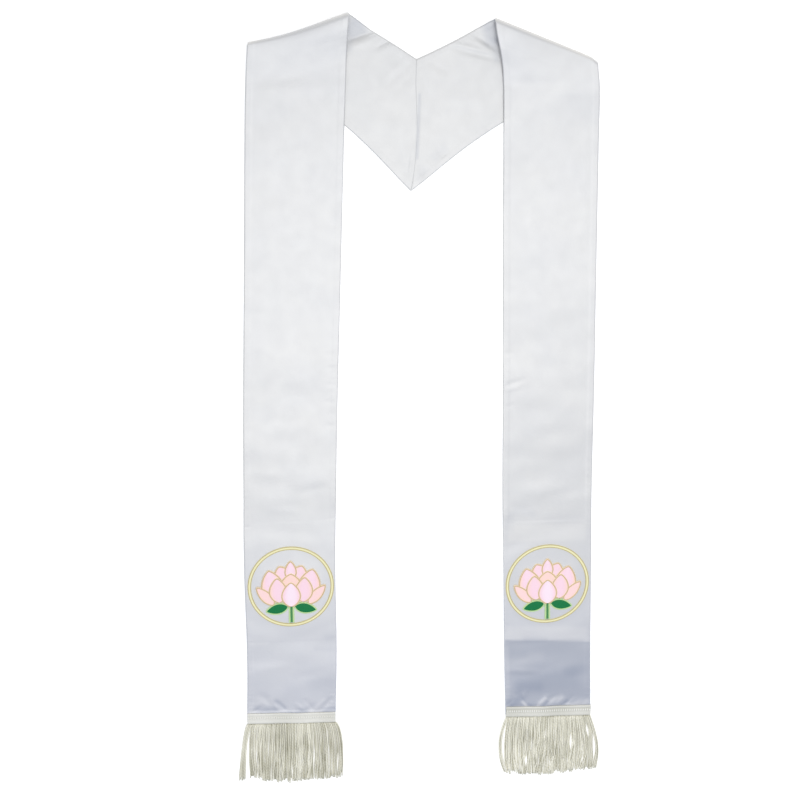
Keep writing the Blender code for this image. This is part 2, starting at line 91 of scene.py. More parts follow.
# Where each half folds, how it flares at the neck, and where its hem and emblem are
Half = namedtuple(
    "Half",
    "name side neck kink neck_bend shoulder crest_bow edge_bow flare flare_length corner_inset settle"
    " backing_top backing_foot hem_inner_y hem_outer_y ring_x ring_y",
)
LEFT = Half(
    name="left",
    side=-1,
    neck=Vector((-65.8, 507.1)),
    kink=Vector((-37.0, 486.0)),
    neck_bend=Vector((-8.0, 469.3)),
    shoulder=Vector((-191.0, 471.0)),
    crest_bow=-3.7,
    edge_bow=5.2,
    flare=0.0,
    flare_length=40.0,
    corner_inset=1.4,
    settle=58.0,
    backing_top=-171.0,
    backing_foot=-349.0,
    hem_inner_y=-477.0,
    hem_outer_y=-473.0,
    ring_x=-153.6,
    ring_y=-266.2,
)
RIGHT = Half(
    name="right",
    side=1,
    neck=Vector((120.3, 499.8)),
    kink=Vector((94.0, 485.6)),
    neck_bend=Vector((63.0, 468.5)),
    shoulder=Vector((256.5, 447.0)),
    crest_bow=0.3,
    edge_bow=6.0,
    flare=13.0,
    flare_length=45.0,
    corner_inset=3.2,
    settle=72.0,
    backing_top=-183.0,
    backing_foot=-368.0,
    hem_inner_y=-483.0,
    hem_outer_y=-487.0,
    ring_x=211.0,
    ring_y=-278.3,
)

# The middle of each front band, from the shoulder down to the hem
Way = namedtuple("Way", "y left_x right_x")
FRONT_WAY = (
    Way(520, -128, 195.8),
    Way(420, -133.2, 196.9),
    Way(270, -138.8, 199.4),
    Way(140, -143.3, 202),
    Way(0, -148.4, 204.9),
    Way(-140, -152.2, 207),
    Way(-220, -154.2, 209.6),
    Way(-300, -154.3, 211.9),
    Way(-370, -154.2, 214),
    Way(-450, -156.4, 217),
    Way(-500, -158, 219),
)

# Shells: the woven layer and its rolled edges
SHELL = 0.35
EDGE_ROLL = 1.6
SEWN = 0.05
SEAM_ROLL = 2.2
SEAM_DEPTH = 0.22
SEAM_LENGTH = 150.0

# How finely a shell is divided: columns close at the sewn edges, and rows close at the seam, the
# hem and the backing's edges
MARGIN = (0, 0.12, 0.4, 0.9, 1.6, 2.6, 3.8, 5.2, 6.6, 7.5, 8.2, 8.8, 9.6, 11, 13, 15.5, 18.5, 22)
INNER_COLUMNS = 39
END_ROWS = (0.0, 0.0003, 0.0012, 0.004, 0.009, 0.016)
FRONT_LENGTHS = 6
Spacing = namedtuple("Spacing", "back under turn over front")
FACE_SPACING = Spacing(back=60, under=14, turn=18, over=16, front=330)
LINING_SPACING = Spacing(back=120, under=24, turn=14, over=6, front=60)
Rows = namedtuple("Rows", "start end count")
BACKING_ROWS = Rows(-3, 3, 9)
HEM_ROWS = Rows(12, 46, 26)

# The centre seam wanders to the photo's right, by its share from the nape to the tip
Bow = namedtuple("Bow", "share out")
SEAM_BOW = (
    Bow(0, 0),
    Bow(0.18, 0.4),
    Bow(0.34, 2.6),
    Bow(0.52, 5.3),
    Bow(0.76, 4.2),
    Bow(0.90, 2.2),
    Bow(1, 0),
)
SEAM_BOW_REACH = 26.0

# Creases: soft ridges (height over 0) and troughs (under 0) between two points of the floor
Crease = namedtuple("Crease", "start_x start_y end_x end_y width height")
CREASE_FADE = 0.8
BACK_CREASES = (
    Crease(-70, 472.5, -33, 484.5, 3.2, -0.9),
    Crease(-68, 463, -28, 477, 4.5, 0.5),
    Crease(-34, 463, -4, 478, 2.4, -0.45),
    Crease(-30, 457, 0, 470, 4, 0.35),
    Crease(90, 484, 127, 459, 4.2, -0.55),
    Crease(92, 474, 122, 458, 3.6, 0.5),
    Crease(64, 465, 131, 447.5, 3.8, -0.6),
    Crease(60, 470.5, 120, 457, 3.4, 0.55),
    Crease(-24, 412, 22, 452, 3.4, -0.24),
    Crease(-27, 421, 14, 455, 3.8, 0.22),
    Crease(-6, 408, 19, 436, 3, -0.16),
    Crease(32, 451, 66, 430, 3, -0.24),
    Crease(30, 443, 58, 424, 3.4, 0.2),
    Crease(24, 412, 22, 330, 2.4, -0.34),
    Crease(31, 405, 29, 325, 4, 0.18),
    Crease(15.5, 334, 12, 298, 1.5, -0.45),
    Crease(11.5, 345, 8.5, 300, 2.6, 0.3),
    Crease(46, 339, 59, 326, 4, -0.6),
    Crease(22, 316, 33, 300, 3.2, -0.5),
    Crease(33, 322, 43, 311, 3, 0.35),
    Crease(-52, 392, 2, 352, 9, 0.35),
    Crease(-40, 375, 4, 330, 7, -0.25),
    Crease(50, 405, 120, 395, 10, 0.3),
    Crease(60, 372, 116, 398, 7, -0.25),
)
FRONT_CREASES = (
    Crease(-240, 430, -30, 427, 9, -0.34),
    Crease(-240, 416, -40, 413, 8, 0.2),
    Crease(110, 421, 300, 417, 7, -0.42),
    Crease(110, 409, 300, 405, 7, 0.25),
    Crease(-196, 406, -150, 392, 6, -0.25),
    Crease(-98, 245, -77, 236, 2.4, -0.35),
    Crease(-97, 239, -77, 230, 2.6, 0.25),
    Crease(-104, 66, -84, 68, 2, -0.4),
    Crease(-102, 47, -84.5, 50, 1.8, -0.35),
    Crease(-99, 36.5, -84.5, 37, 1.5, 0.25),
    Crease(-103, 26, -85, 24, 1.8, -0.4),
    Crease(-98, 13, -85.5, 14, 1.6, -0.25),
    Crease(-105, 2, -86, -1, 2, -0.4),
    Crease(-99, -16, -86, -15, 1.6, -0.3),
    Crease(-103, -31, -86, -34, 1.8, -0.4),
    Crease(-208, 120, -180, 128, 5, -0.25),
    Crease(-196, -28, -120, -22, 8, -0.25),
    Crease(-205, -96, -150, -104, 7, 0.25),
    Crease(-150, -128, -95, -120, 6, -0.3),
    Crease(-190, -150, -130, -156, 6, 0.25),
    Crease(138, 61, 156, 62.5, 1.8, -0.35),
    Crease(141, 16, 176, 26, 2.4, -0.5),
    Crease(143, 9, 170, 18, 3, 0.3),
    Crease(141, -14, 158, -12, 1.6, -0.3),
    Crease(180, -58, 262, -50, 10, -0.16),
    Crease(150, -96, 230, -104, 10, 0.18),
    Crease(152, -158, 186, -166, 6, -0.32),
    Crease(196, -146, 268, -138, 8, -0.2),
    Crease(160, -140, 240, -133, 9, 0.16),
)
HEM_CREASES = (
    Crease(-214, -392, -150, -386, 7, 0.3),
    Crease(-160, -408, -94, -398, 8, -0.35),
    Crease(-205, -428, -176, -452, 5, -0.5),
    Crease(-190, -436, -172, -460, 3.4, 0.5),
    Crease(-178, -441, -163, -461, 3, -0.55),
    Crease(-152, -446, -138, -461, 3, 0.45),
    Crease(-138, -440, -126, -460, 3, -0.4),
    Crease(-122, -461, -108, -442, 3, 0.5),
    Crease(-114, -461, -98, -440, 3.2, -0.6),
    Crease(-214, -461, -196, -447, 3.4, -0.5),
    Crease(152, -412, 206, -416, 4, 0.45),
    Crease(152, -424, 250, -404, 8, -0.3),
    Crease(154, -398, 190, -394, 6, -0.3),
    Crease(170, -446, 186, -470, 3.6, -0.6),
    Crease(186, -442, 176, -468, 3, 0.4),
    Crease(200, -474, 219, -453, 3, 0.55),
    Crease(212, -474, 229, -454, 2.8, -0.5),
    Crease(228, -475, 242, -458, 2.6, 0.45),
    Crease(240, -475, 256, -456, 3, -0.55),
    Crease(256, -474, 272, -462, 3, 0.4),
    Crease(152, -472, 168, -456, 3.4, -0.5),
)

# Slow waves of the laid cloth: wavelengths, direction and height
Wave = namedtuple("Wave", "length turn phase height")
WAVES = (
    Wave(148, 78, 0.4, 0.30),
    Wave(92, 101, 2.1, 0.20),
    Wave(61, 62, 4.4, 0.12),
    Wave(43, 118, 1.3, 0.07),
    Wave(33, 84, 5.2, 0.05),
)
LINING_WAVES = 0.5
LINING_CALM = 1.2
PUCKER_LENGTHS = (8.5, 5.7, 13.0)
PUCKER_HEIGHT = 0.07

# Where the cloth lies flat, round the ring and above the header, and how soon it is loose again
RING_CLEAR = 1.0
RING_FADE = 22.0
HEADER_FADE = 5.0

# Soft patches of painted shade on the satin, or of painted highlight with a depth under 0, and how far
# painted shade darkens it towards the hem and the neck
Shade = namedtuple("Shade", "x y half_width half_height turn soft depth inset", defaults=(0.0,))
INSET_SOFT = 3.0
# Painted shade and painted highlight on the front bands
FRONT_PAINTED_SHADES = (
    Shade(220, -431, 90, 63, -4, 6, 0.335, 0.8),
    Shade(232, -463, 32, 4, 3, 8, -0.08),
    Shade(205, -90, 70, 66, -2, 60, 0.03),
    Shade(208, -145, 62, 14, 0, 18, 0.035),
    Shade(-131, 450, 60, 36, 0, 40, 0.03),
    Shade(156.5, -415, 3, 42, 2, 7, -0.20),
    Shade(209, -200, 56, 13, -1, 7, -0.09),
    Shade(212, -355, 60, 10, -3, 9, -0.13),
    Shade(188.4, 473.8, 74, 2.6, -21.2, 4, -0.30),
    Shade(-128.4, 489.5, 68, 2.6, 16.1, 4, -0.22),
    Shade(-153.6, -266.2, 40, 38, 0, 20, -0.06),
    Shade(211, -278.3, 40, 38, 0, 20, -0.055),
    Shade(-158, -440, 48, 8, 2, 12, -0.05),
    Shade(196, -364, 18, 3, -2, 8, 0.12),
    Shade(216, -432, 48, 17, 4, 22, 0.19),
    Shade(188, -437.5, 21, 8, -6, 12, 0.15),
    Shade(257, -417, 17, 8, 10, 12, 0.13),
    Shade(170, -384, 16, 6, -8, 10, 0.07),
    Shade(180, -397, 30, 8, 10, 14, -0.14),
    Shade(168, -412, 14, 8, 0, 12, -0.07),
    Shade(170, -462, 12, 4.5, 30, 8, 0.30),
    Shade(182, -466, 6, 1.9, -52, 3.2, -0.60),
    Shade(191, -469, 5, 2, -40, 4, 0.20),
    Shade(208.5, -464.5, 9.5, 2.1, 46, 3.2, -0.52),
    Shade(213.5, -469, 7.5, 1.3, 50, 3, 0.24),
    Shade(229, -461, 12, 4, 18, 8, -0.30),
    Shade(242, -468, 7, 1.8, 42, 4, 0.26),
    Shade(263, -471, 17, 4.5, 14, 6, -0.42),
    Shade(175, -168, 16, 5, -10, 9, 0.09),
    Shade(156, -182, 5, 16, 0, 8, 0.06),
    Shade(-193, -456, 16, 5, -6, 10, 0.34),
    Shade(-166, -464, 10, 5, 8, 8, 0.34),
    Shade(-147, -462, 14, 4.5, 12, 9, 0.32),
    Shade(-102, -461, 12, 4.5, 6, 8, 0.36),
    Shade(-173, -448, 11, 3, -46, 7, 0.22),
    Shade(-128, -452, 7, 3, 40, 5, 0.10),
    Shade(-177, -428, 12, 7, 20, 10, -0.05),
    Shade(-108, -424, 20, 18, 10, 22, 0.10),
    Shade(-107, -365, 16, 2.5, -8, 6, 0.08),
    Shade(-101, -345, 8, 5, 0, 8, 0.07),
    Shade(-200, -351, 14, 2.5, 0, 5, -0.07),
)
# Painted shade on the back panel: the fold's shadow in the neck corners, and shade along the seam
BACK_PAINTED_SHADES = (
    Shade(-57, 490, 12, 12, 30, 12, 0.30),
    Shade(-66, 476, 4, 16, 0, 9, 0.20),
    Shade(115, 487, 9, 20, 10, 13, 0.28),
    Shade(123, 462, 4, 16, 10, 9, 0.22),
    Shade(23.4, 366, 1.8, 42, -2, 4, 0.24),
    Shade(52, 332, 12, 6, 40, 9, 0.08),
    Shade(28, 305, 10, 5, 50, 8, 0.08),
)
# Painted shade that darkens the satin towards the hem, and towards the neck
HEM_PAINTED_SHADE = 0.085
HEM_PAINTED_SHADE_START = -110.0
HEM_PAINTED_SHADE_END = -440.0
NECK_PAINTED_SHADE = 0.045
NECK_PAINTED_SHADE_START = 240.0
NECK_PAINTED_SHADE_END = 470.0

# Fringe: a woven header laid over the hem, with layers of cords
HEADER_HEIGHT = 16.0
HEADER_OVERHANG = 3.0
HEADER_INSET = 0.5
HEADER_WALL = 0.3
HEADER_COLUMNS = 481
HEADER_ROWS = 41
HEADER_ROLL = 0.9
HEADER_TOP = 1.35
HEADER_RIB = 0.08
HEADER_RIB_LENGTH = 1.5

# Rows of the header's weave above its foot, how much each is raised, and its painted light:
# painted highlight on the raised rows and loops, painted shade in the grooves and along the foot
WeaveRow = namedtuple("WeaveRow", "y width")
UPPER_CORD = WeaveRow(14.6, 1.0)
UPPER_GROOVE = WeaveRow(12.4, 1.0)
LOOP_ROW = WeaveRow(9.2, 1.0)
LOOP_GROOVE = WeaveRow(9.2, 1.7)
LOWER_CORD = WeaveRow(3.4, 2.0)
FOOT_LINE = WeaveRow(0.0, 1.1)
Weave = namedtuple("Weave", "cord loop lower groove foot", defaults=(0.0,))
WEAVE_RELIEF = Weave(0.2, 0.6, 0.2, -0.4)
WEAVE_PAINTED_LIGHT = Weave(0.1, 0.45, 0.08, -0.42, -0.35)
UPPER_GROOVE_SHARE = 0.3
LOOP_ROUND = 1.2
LOOP_PITCH = 3.3
LOOP_SHOW = {"left": 0.35, "right": 1.25}
HEADER_TONE = {"left": 0.62, "right": 0.5}
FRINGE_LENGTH = {"left": 97.0, "right": 98.6}
Spread = namedtuple("Spread", "at middle tip length")
FRINGE_SPREAD = {
    "left": (
        Spread(0, -7.2, -12.8, 0.97),
        Spread(0.0735, -9.6, -12.4, 0.99),
        Spread(0.0736, -6.9, -4.6, 0.93),
        Spread(0.14, -4.2, -3.2, 0.965),
        Spread(0.30, -1.6, -2.2, 1),
        Spread(0.55, 0.5, 0.8, 1.03),
        Spread(0.80, 4, 5, 0.99),
        Spread(0.92, 7.5, 9, 0.97),
        Spread(1, 12, 14, 0.95),
    ),
    "right": (
        Spread(0, -9.5, 0.6, 0.97),
        Spread(0.020, -8.6, 1.2, 0.98),
        Spread(0.023, -3.4, 1.8, 0.98),
        Spread(0.15, -1.4, 1.6, 1),
        Spread(0.40, 0.3, 1.8, 1.03),
        Spread(0.72, 3, 4, 1),
        Spread(0.90, 8.5, 10, 0.97),
        Spread(1, 15, 17, 0.94),
    ),
}
SPREAD_PACE = {"left": 0.6, "right": 1.0}
# Layers of cords from the floor up, the lower ones darker: painted shade under the layers above them
Layer = namedtuple("Layer", "cords rest root tone loose")
CORD_LAYERS = (
    Layer(82, 1.15, 0.7, 0, 0.4),
    Layer(72, 2.2, 1.2, 0.15, 0.95),
    Layer(62, 3.3, 1.7, 0.4, 1.2),
)
LOOSE = {"left": 0.9, "right": 1.35}
CORD_TONE = {"left": 0.04, "right": 0.2}
CORD_RADIUS = 0.76
CORD_SIDES = 7
CORD_FLARE = 1.12
CORD_END = 0.004
CORD_STEPS = 24
CORD_STAGGER = 12.6
CORD_DROP = 0.3
CORD_ROOT_UP = 1.5
CORD_ROOT_SUNK = 0.4
CORD_LENGTHS = (0.95, 1.0)
CORD_TURNS = (0.8, 2.6)
CORD_REST_SPAN = 0.35
CORD_JITTER = 0.3
CORD_SIZES = (0.86, 1.05)
CORD_TONE_SPAN = 0.55
WAVE_LEAST = 0.2
WAVE_GROWTH = 0.6
CALM_LEAST = 0.2
CALM_START = 0.06
CALM_FADE = 0.08
FRINGE_SEED = {"left": 41, "right": 23}
LOCK_CORDS = (3, 7)
LOCK_PULL = 0.34
LOCK_LEAN = 1.7
LOCK_SWAY = 2.0
LOCK_SWAY_LEAST = 0.2
LOCK_SWAY_TURNS = 0.8
LOCK_LENGTHS = (0.95, 1.0)
CORD_WANDER = 2.2
CORD_WAVE = 1.3
Opening = namedtuple("Opening", "at middle reach width")
OPENING_SPAN = 0.03
OPENINGS = {
    "left": (Opening(0.955, 0.75, 0.22, 1.3),),
    "right": (
        Opening(0.76, 0.50, 0.15, 2.3),
        Opening(0.27, 0.80, 0.12, 1.7),
        Opening(0.93, 0.30, 0.11, 1.9),
        Opening(0.965, 0.62, 0.20, 2.3),
        Opening(0.89, 0.74, 0.12, 1.7),
    ),
}

# Emblem: a ring round a lotus, measured from the ring's centre
RING_RADIUS = 60.2
RING_WIDTH = 4.8
RING_HEIGHT = 0.8
RING_COLUMNS = 5
RING_FILL_DROP = 0.15
RING_LINE_DROP = 0.25
# The paler flanks of the ring's lines are painted shading across their round
RING_LINE_FLANK = 0.7
CIRCLE_POINTS = 241
PETAL_HEIGHT = 0.8
PETAL_STEP = 0.12
BLUSH_EDGE = 3
BLUSH_ROOT = 0.8
BLUSH_GROWTH = 0.4
OVAL_ENDS = (0.012, 0.985)
OVAL_EDGE_DROP = 0.3
PATH_START = 0.004
PATH_POINTS = 60
COVER_DROP = 0.7
COVER_MARGIN = 0.3
FILL_COVER_MARGIN = 1.0
PETAL_SKEW = 0.85
PETAL_FULLNESS = 0.7
Petal = namedtuple("Petal", "name layer root_x root_y tip_x tip_y half_width tint")
PETALS = (
    Petal("crown_side", 0, 3, -3, 16, 30.6, 15, 0.50),
    Petal("crown", 1, 0, 10, 0, 38, 7.8, 0.72),
    Petal("shoulder", 2, 21, -19, 30.5, 25, 15.2, 0.62),
    Petal("wing", 3, 24.5, -25.6, 47.5, 0.5, 7.2, 0.30),
    Petal("middle", 4, 0, -10, 0, 19.5, 14, 0.20),
    Petal("inner", 5, 16.5, -22.6, 19.5, 13.5, 12.2, 0.52),
    Petal("heart", 6, 0, -29.5, 0, 6.5, 13, 0.95),
)
Leaf = namedtuple("Leaf", "root_x root_y tip_x tip_y half_width")
LEAF = Leaf(5.0, -29.8, 35.0, -36.2, 7.7)
LEAF_HEIGHT = 0.8
STEM_TOP = -30.2
STEM_FOOT = -54.3
STEM_WIDTH = 6.6
STEM_EDGE = 1.25
STEM_DROP = 0.15
STEM_TINT = 0.12
THREAD_PITCH = 0.5
THREAD_RELIEF = 0.07
THREAD_COLUMNS = 9
DOME = 0.14
BORDER_PITCH = 0.75
BORDER_RADIUS = 0.62
BORDER_RELIEF = 0.13
BORDER_COLUMNS = 9
BORDER_REACH = 1.9
OUTLINE_RADIUS = 1.35
OUTLINE_DROP = 0.95
OUTLINE_FOCUS = 6
LEAF_EDGE_RADIUS = 1.0
LEAF_EDGE_DROP = 0.65
LEAF_EDGE_TINT = 0.85
SUNK = 0.05

# Satin: its gloss, the colour of its painted shade, and the painted blue shade that cools it towards the
# hem
SATIN_IOR = 1.95
SATIN_PAINTED_SHADE = (0.0, 0.05, 0.165, 1.0)
HEM_PAINTED_BLUE_START = -0.11
HEM_PAINTED_BLUE_END = -0.39
HEM_PAINTED_BLUE = (0.985, 1.0, 1.085, 1.0)

# How often the weaves, plies and threads of the materials repeat, in metres
FLOAT_LENGTH = 0.00045
FLOAT_END_ACROSS = 0.0021
FLOAT_END_ALONG = 0.0009
PLY_LENGTH = 0.0048
RIB_LENGTH = 0.00075
PICK_LENGTH = 0.0009
STRAND_LENGTH = 0.00025

# Camera: tilt and turn from straight above, distance to the floor's middle, and focal length
CAMERA_TILT = math.radians(16.0)
CAMERA_TURN = math.radians(-6.0)
CAMERA_DISTANCE = 1.9014
CAMERA_LENS = 63.0
SENSOR = 36.0

# Floor and light
FLOOR_SIZE = 6.0
FLOOR_DROP = -0.0003
FLOOR_WHITE = (0.9, 0.9, 0.9, 1.0)
FLOOR_GLOW = 0.35
ROOM_HEM = (0.42, 0.48, 0.60, 1.0)
ROOM_NECK = (1.0, 0.99, 0.97, 1.0)
ROOM_STRENGTH = 0.92
KEY_SPOT = (0.15, -0.1, 1.9)
KEY_SIZE = (1.95, 1.5)
KEY_TURN = 34.0
KEY_WATTS = 18.5
KEY_COLOUR = (1.0, 0.99, 0.97)


def smooth(value):
    """A smooth step from 0 to 1 as value goes from 0 to 1."""
    value = min(1.0, max(0.0, value))
    return value * value * (3 - 2 * value)


def smooth_all(values):
    """The same smooth step for an array."""
    values = np.clip(values, 0.0, 1.0)
    return values * values * (3 - 2 * values)


def mix(start, end, share):
    """The value at a share of the way from start to end."""
    return start + (end - start) * share


def pairs(across, along):
    """The place on a surface of each point of its rows and columns."""
    return np.stack(np.broadcast_arrays(across, along), axis=2)


def run_along(points):
    """The length from the first of a row of points to each of them."""
    steps = np.linalg.norm(np.diff(points, axis=0), axis=1)
    return np.concatenate([[0.0], np.cumsum(steps)])


def way_middle(half, y):
    """The middle of the front band at a height on the floor, on a smooth curve through FRONT_WAY."""
    heights = [row.y for row in FRONT_WAY]
    middles = [row.left_x if half is LEFT else row.right_x for row in FRONT_WAY]
    last = len(heights) - 1
    i = next((i for i in range(last) if y >= heights[i + 1]), last - 1)

    def slope(j):
        before = max(0, j - 1)
        after = min(last, j + 1)
        return (middles[after] - middles[before]) / (heights[after] - heights[before])

    run = heights[i + 1] - heights[i]
    share = (y - heights[i]) / run
    start = middles[i] + slope(i) * run * share
    end = middles[i + 1] - slope(i + 1) * run * (1 - share)
    return mix(start, end, smooth(share))


def between_rows(rows, key, column, at):
    """A column of a table at a place between its rows."""
    places = [getattr(row, key) for row in rows]
    return float(np.interp(at, places, [getattr(row, column) for row in rows]))


def crest_across(half):
    """The unit direction along the shoulder fold and the one from it towards the hem."""
    along = (half.shoulder - half.neck).normalized()
    down = Vector((along.y, -along.x)) * half.side
    return along, down


def crest_bow(half, across):
    """How far the fold bows out of the straight line from the neck to the shoulder."""
    corner = max(0.0, (across - 1 + CORNER_ROUND) / CORNER_ROUND)
    bow = half.crest_bow * math.sin(math.pi * across**CREST_SKEW)
    return bow - CORNER_DROP[half.name] * corner * corner


def turn_radius(across):
    """The radius of the fold's roll, widest at the neck."""
    return mix(NECK_RADIUS, SHOULDER_RADIUS, smooth(across))


def neck_lift(across):
    """How far the fold's underside stands off the floor."""
    return NECK_LIFT * (1 - smooth(across / NECK_LIFT_SHARE))


def front_edge(half, y, across):
    """A point of the front band at height y on the floor, across from 0 at the neck to 1 outside."""
    x = way_middle(half, y) + half.side * BAND_WIDTH * (across - 0.5)
    below_neck = (half.neck.y - y) / half.flare_length
    x -= half.side * half.flare * (1 - across) * math.exp(-below_neck * below_neck)
    below_shoulder = (half.shoulder.y - y) / CORNER_LENGTH
    x -= half.side * half.corner_inset * across * math.exp(-below_shoulder * below_shoulder)
    return Vector((x, y))


def under_point(half, distance, across):
    """The back layer at a distance from the fold, up to LIFT_REACH."""
    down = crest_across(half)[1]
    inner = half.neck + (half.kink - half.neck) * (distance / LIFT_REACH)
    edge = TIP - half.shoulder
    outer = half.shoulder + edge * (distance / edge.dot(down))
    return inner.lerp(outer, across)


def over_point(half, distance, across):
    """The front layer at a distance from the fold, up to LIFT_REACH."""
    drop = distance / -crest_across(half)[1].y
    inner = front_edge(half, half.neck.y - drop, 0.0)
    outer = front_edge(half, half.shoulder.y - drop, 1.0)
    return inner.lerp(outer, across)


def edge_rise(half, share):
    """How far the lower edge of the back panel bows towards the neck, at a share of its length."""
    along = (half.shoulder - TIP).normalized()
    towards_neck = Vector((-along.y, along.x)) * half.side
    return towards_neck * half.edge_bow * math.sin(math.pi * share**EDGE_SKEW) ** 2


def back_point(half, share, across):
    """The back panel between the centre seam at share 0 and the start of the lift at share 1."""
    bend = half.neck_bend
    inner = NAPE.lerp(bend, share).lerp(bend.lerp(half.kink, share), share)
    outer = TIP.lerp(under_point(half, LIFT_REACH, 1.0), share) + edge_rise(half, share)
    from_seam = share * SEAM_LENGTH / SEAM_BOW_REACH
    bow = between_rows(SEAM_BOW, "share", "out", across) * math.exp(-from_seam * from_seam)
    return inner.lerp(outer, across) + Vector((bow, 0))


def front_point(half, share, across):
    """The front band between LIFT_REACH from the fold at share 0 and the hem at share 1."""
    drop = LIFT_REACH / -crest_across(half)[1].y
    inner = front_edge(half, mix(half.neck.y - drop, half.hem_inner_y, share), 0.0)
    outer = front_edge(half, mix(half.shoulder.y - drop, half.hem_outer_y, share), 1.0)
    return inner.lerp(outer, across)


def resting_height(half, point):
    """Half the stack on the floor, or on top of the back panel where that lies underneath."""
    edge = (half.shoulder - TIP).normalized()
    outside = (point - TIP).cross(edge) * half.side
    over = 1 - smooth((outside - DRAPE_START) / (DRAPE_END - DRAPE_START))
    return STACK / 2 + (STACK + ALLOWANCE_RISE + GAP) * over


def bowed(half, point, distance, across):
    """Moves a point near the fold with the fold's own bow, which fades out over LIFT_REACH."""
    fade = 1 - smooth(distance / LIFT_REACH)
    return point - crest_across(half)[1] * crest_bow(half, across) * fade


def under_surface(half, distance, across):
    """The middle of the cloth under the fold."""
    radius = turn_radius(across)
    settled = smooth((distance - radius) / (LIFT_REACH - radius))
    height = STACK / 2 + neck_lift(across) * (1 - settled)
    point = bowed(half, under_point(half, distance, across), distance, across)
    return point.to_3d() + Vector((0, 0, height))


def over_height(half, point, distance, across):
    """The height of the front layer, which settles from the top of the fold's roll."""
    radius = turn_radius(across)
    top = STACK / 2 + neck_lift(across) + 2 * radius
    rest = resting_height(half, point)
    return rest + (top - rest) * (1 - smooth((distance - radius) / (half.settle - radius)))


def over_surface(half, distance, across):
    """The middle of the cloth over the fold."""
    point = bowed(half, over_point(half, distance, across), distance, across)
    return point.to_3d() + Vector((0, 0, over_height(half, point, distance, across)))


def turn_surface(half, angle, across):
    """The round of the fold, from -90 degrees underneath to 90 degrees on top."""
    radius = turn_radius(across)
    distance = radius * (1 - math.cos(angle))
    under = under_point(half, distance, across)
    over = over_point(half, distance, across)
    point = bowed(half, under.lerp(over, 0.5 + angle / math.pi), distance, across)
    height = STACK / 2 + neck_lift(across) + radius * (1 + math.sin(angle))
    return point.to_3d() + Vector((0, 0, height))


def front_surface(half, share, across):
    """The middle of the cloth down the front."""
    point = front_point(half, share, across)
    distance = (point - half.neck).dot(crest_across(half)[1])
    point = bowed(half, point, distance, across)
    return point.to_3d() + Vector((0, 0, over_height(half, point, distance, across)))


def back_surface(half, share, across):
    return back_point(half, share, across).to_3d() + Vector((0, 0, STACK / 2))


def travel_surface(half, travel, across):
    """The middle of the cloth at a travel along it and a share across it."""
    if travel <= LIFT:
        return back_surface(half, travel, across)
    if travel <= TURN:
        return under_surface(half, mix(LIFT_REACH, turn_radius(across), travel - LIFT), across)
    if travel <= OVER:
        return turn_surface(half, (travel - MID_TURN) * math.pi, across)
    if travel <= FRONT:
        return over_surface(half, mix(turn_radius(across), LIFT_REACH, travel - OVER), across)
    return front_surface(half, travel - FRONT, across)


def front_share(half, y):
    """How far down the front band its middle reaches a height y on the floor."""
    top = front_point(half, 0.0, 0.5).y
    foot = front_point(half, 1.0, 0.5).y
    return (top - y) / (top - foot)


def column_places():
    """Where the columns lie across the band: dense at both sewn edges, even between."""
    inner = np.linspace(MARGIN[-1], BAND_WIDTH - MARGIN[-1], INNER_COLUMNS)[1:-1]
    return np.concatenate([MARGIN, inner, BAND_WIDTH - np.array(MARGIN[::-1])])


def row_places(half, spacing):
    """The travel of each row, with close rows at the seam, the hem and the backing's edges."""

    def stretch(start, end, count):
        return np.linspace(start, end, count)[1:]

    def front_rows(y, rows):
        return FRONT + np.array([front_share(half, y + step) for step in np.linspace(*rows)])

    ends = np.array(END_ROWS)
    hem_ends = ends / FRONT_LENGTHS
    places = [ends, stretch(ends[-1], 1, spacing.back)]
    places += [LIFT + stretch(0, 1, spacing.under), TURN + stretch(0, 1, spacing.turn)]
    places += [OVER + stretch(0, 1, spacing.over), FRONT + stretch(0, 1 - hem_ends[-1], spacing.front)]
    places += [HEM - hem_ends, front_rows(half.backing_top, BACKING_ROWS)]
    places += [front_rows(half.backing_foot, BACKING_ROWS)]
    places += [front_rows((half.hem_inner_y + half.hem_outer_y) / 2, HEM_ROWS)]
    return np.unique(np.round(np.concatenate(places), 6))


Cloth = namedtuple("Cloth", "half travel column middle normal run")


def lay_cloth(half, spacing):
    """The middle surface of a half: its points, its satin side's normals and the run along it."""
    travel = row_places(half, spacing)
    column = column_places()
    middle = np.array([[travel_surface(half, t, c / BAND_WIDTH)[:] for c in column] for t in travel])
    down = np.gradient(middle, axis=0)
    across = np.gradient(middle, axis=1)
    normal = np.cross(down, across) * half.side
    normal /= np.linalg.norm(normal, axis=2, keepdims=True)
    run = run_along(middle[:, len(column) // 2])
    return Cloth(half, travel[:, None], column[None, :], middle, normal, run[:, None])


def edge_distance(cloth):
    """How far each column is from the nearer sewn edge."""
    return np.minimum(cloth.column, BAND_WIDTH - cloth.column)


def edge_roundness(cloth):
    """0 on a sewn edge, 1 where the cloth is flat again: a quarter round between them."""
    sides = np.minimum(np.minimum(edge_distance(cloth), cloth.run[-1] - cloth.run) / EDGE_ROLL, 1.0)
    seam = np.minimum(cloth.run / SEAM_ROLL, 1.0)
    rolled = np.sqrt(1 - (1 - sides) ** 2)
    sewn = 1 - SEAM_DEPTH * (1 - np.sqrt(1 - (1 - seam) ** 2))
    return rolled * sewn


def allowance_rise(cloth):
    """The turned-in seam allowance under the cloth, with its soft step."""
    return SHOWN_ALLOWANCE * (1 - smooth_all((edge_distance(cloth) - ALLOWANCE) / STEP_SLOPE + 0.5))


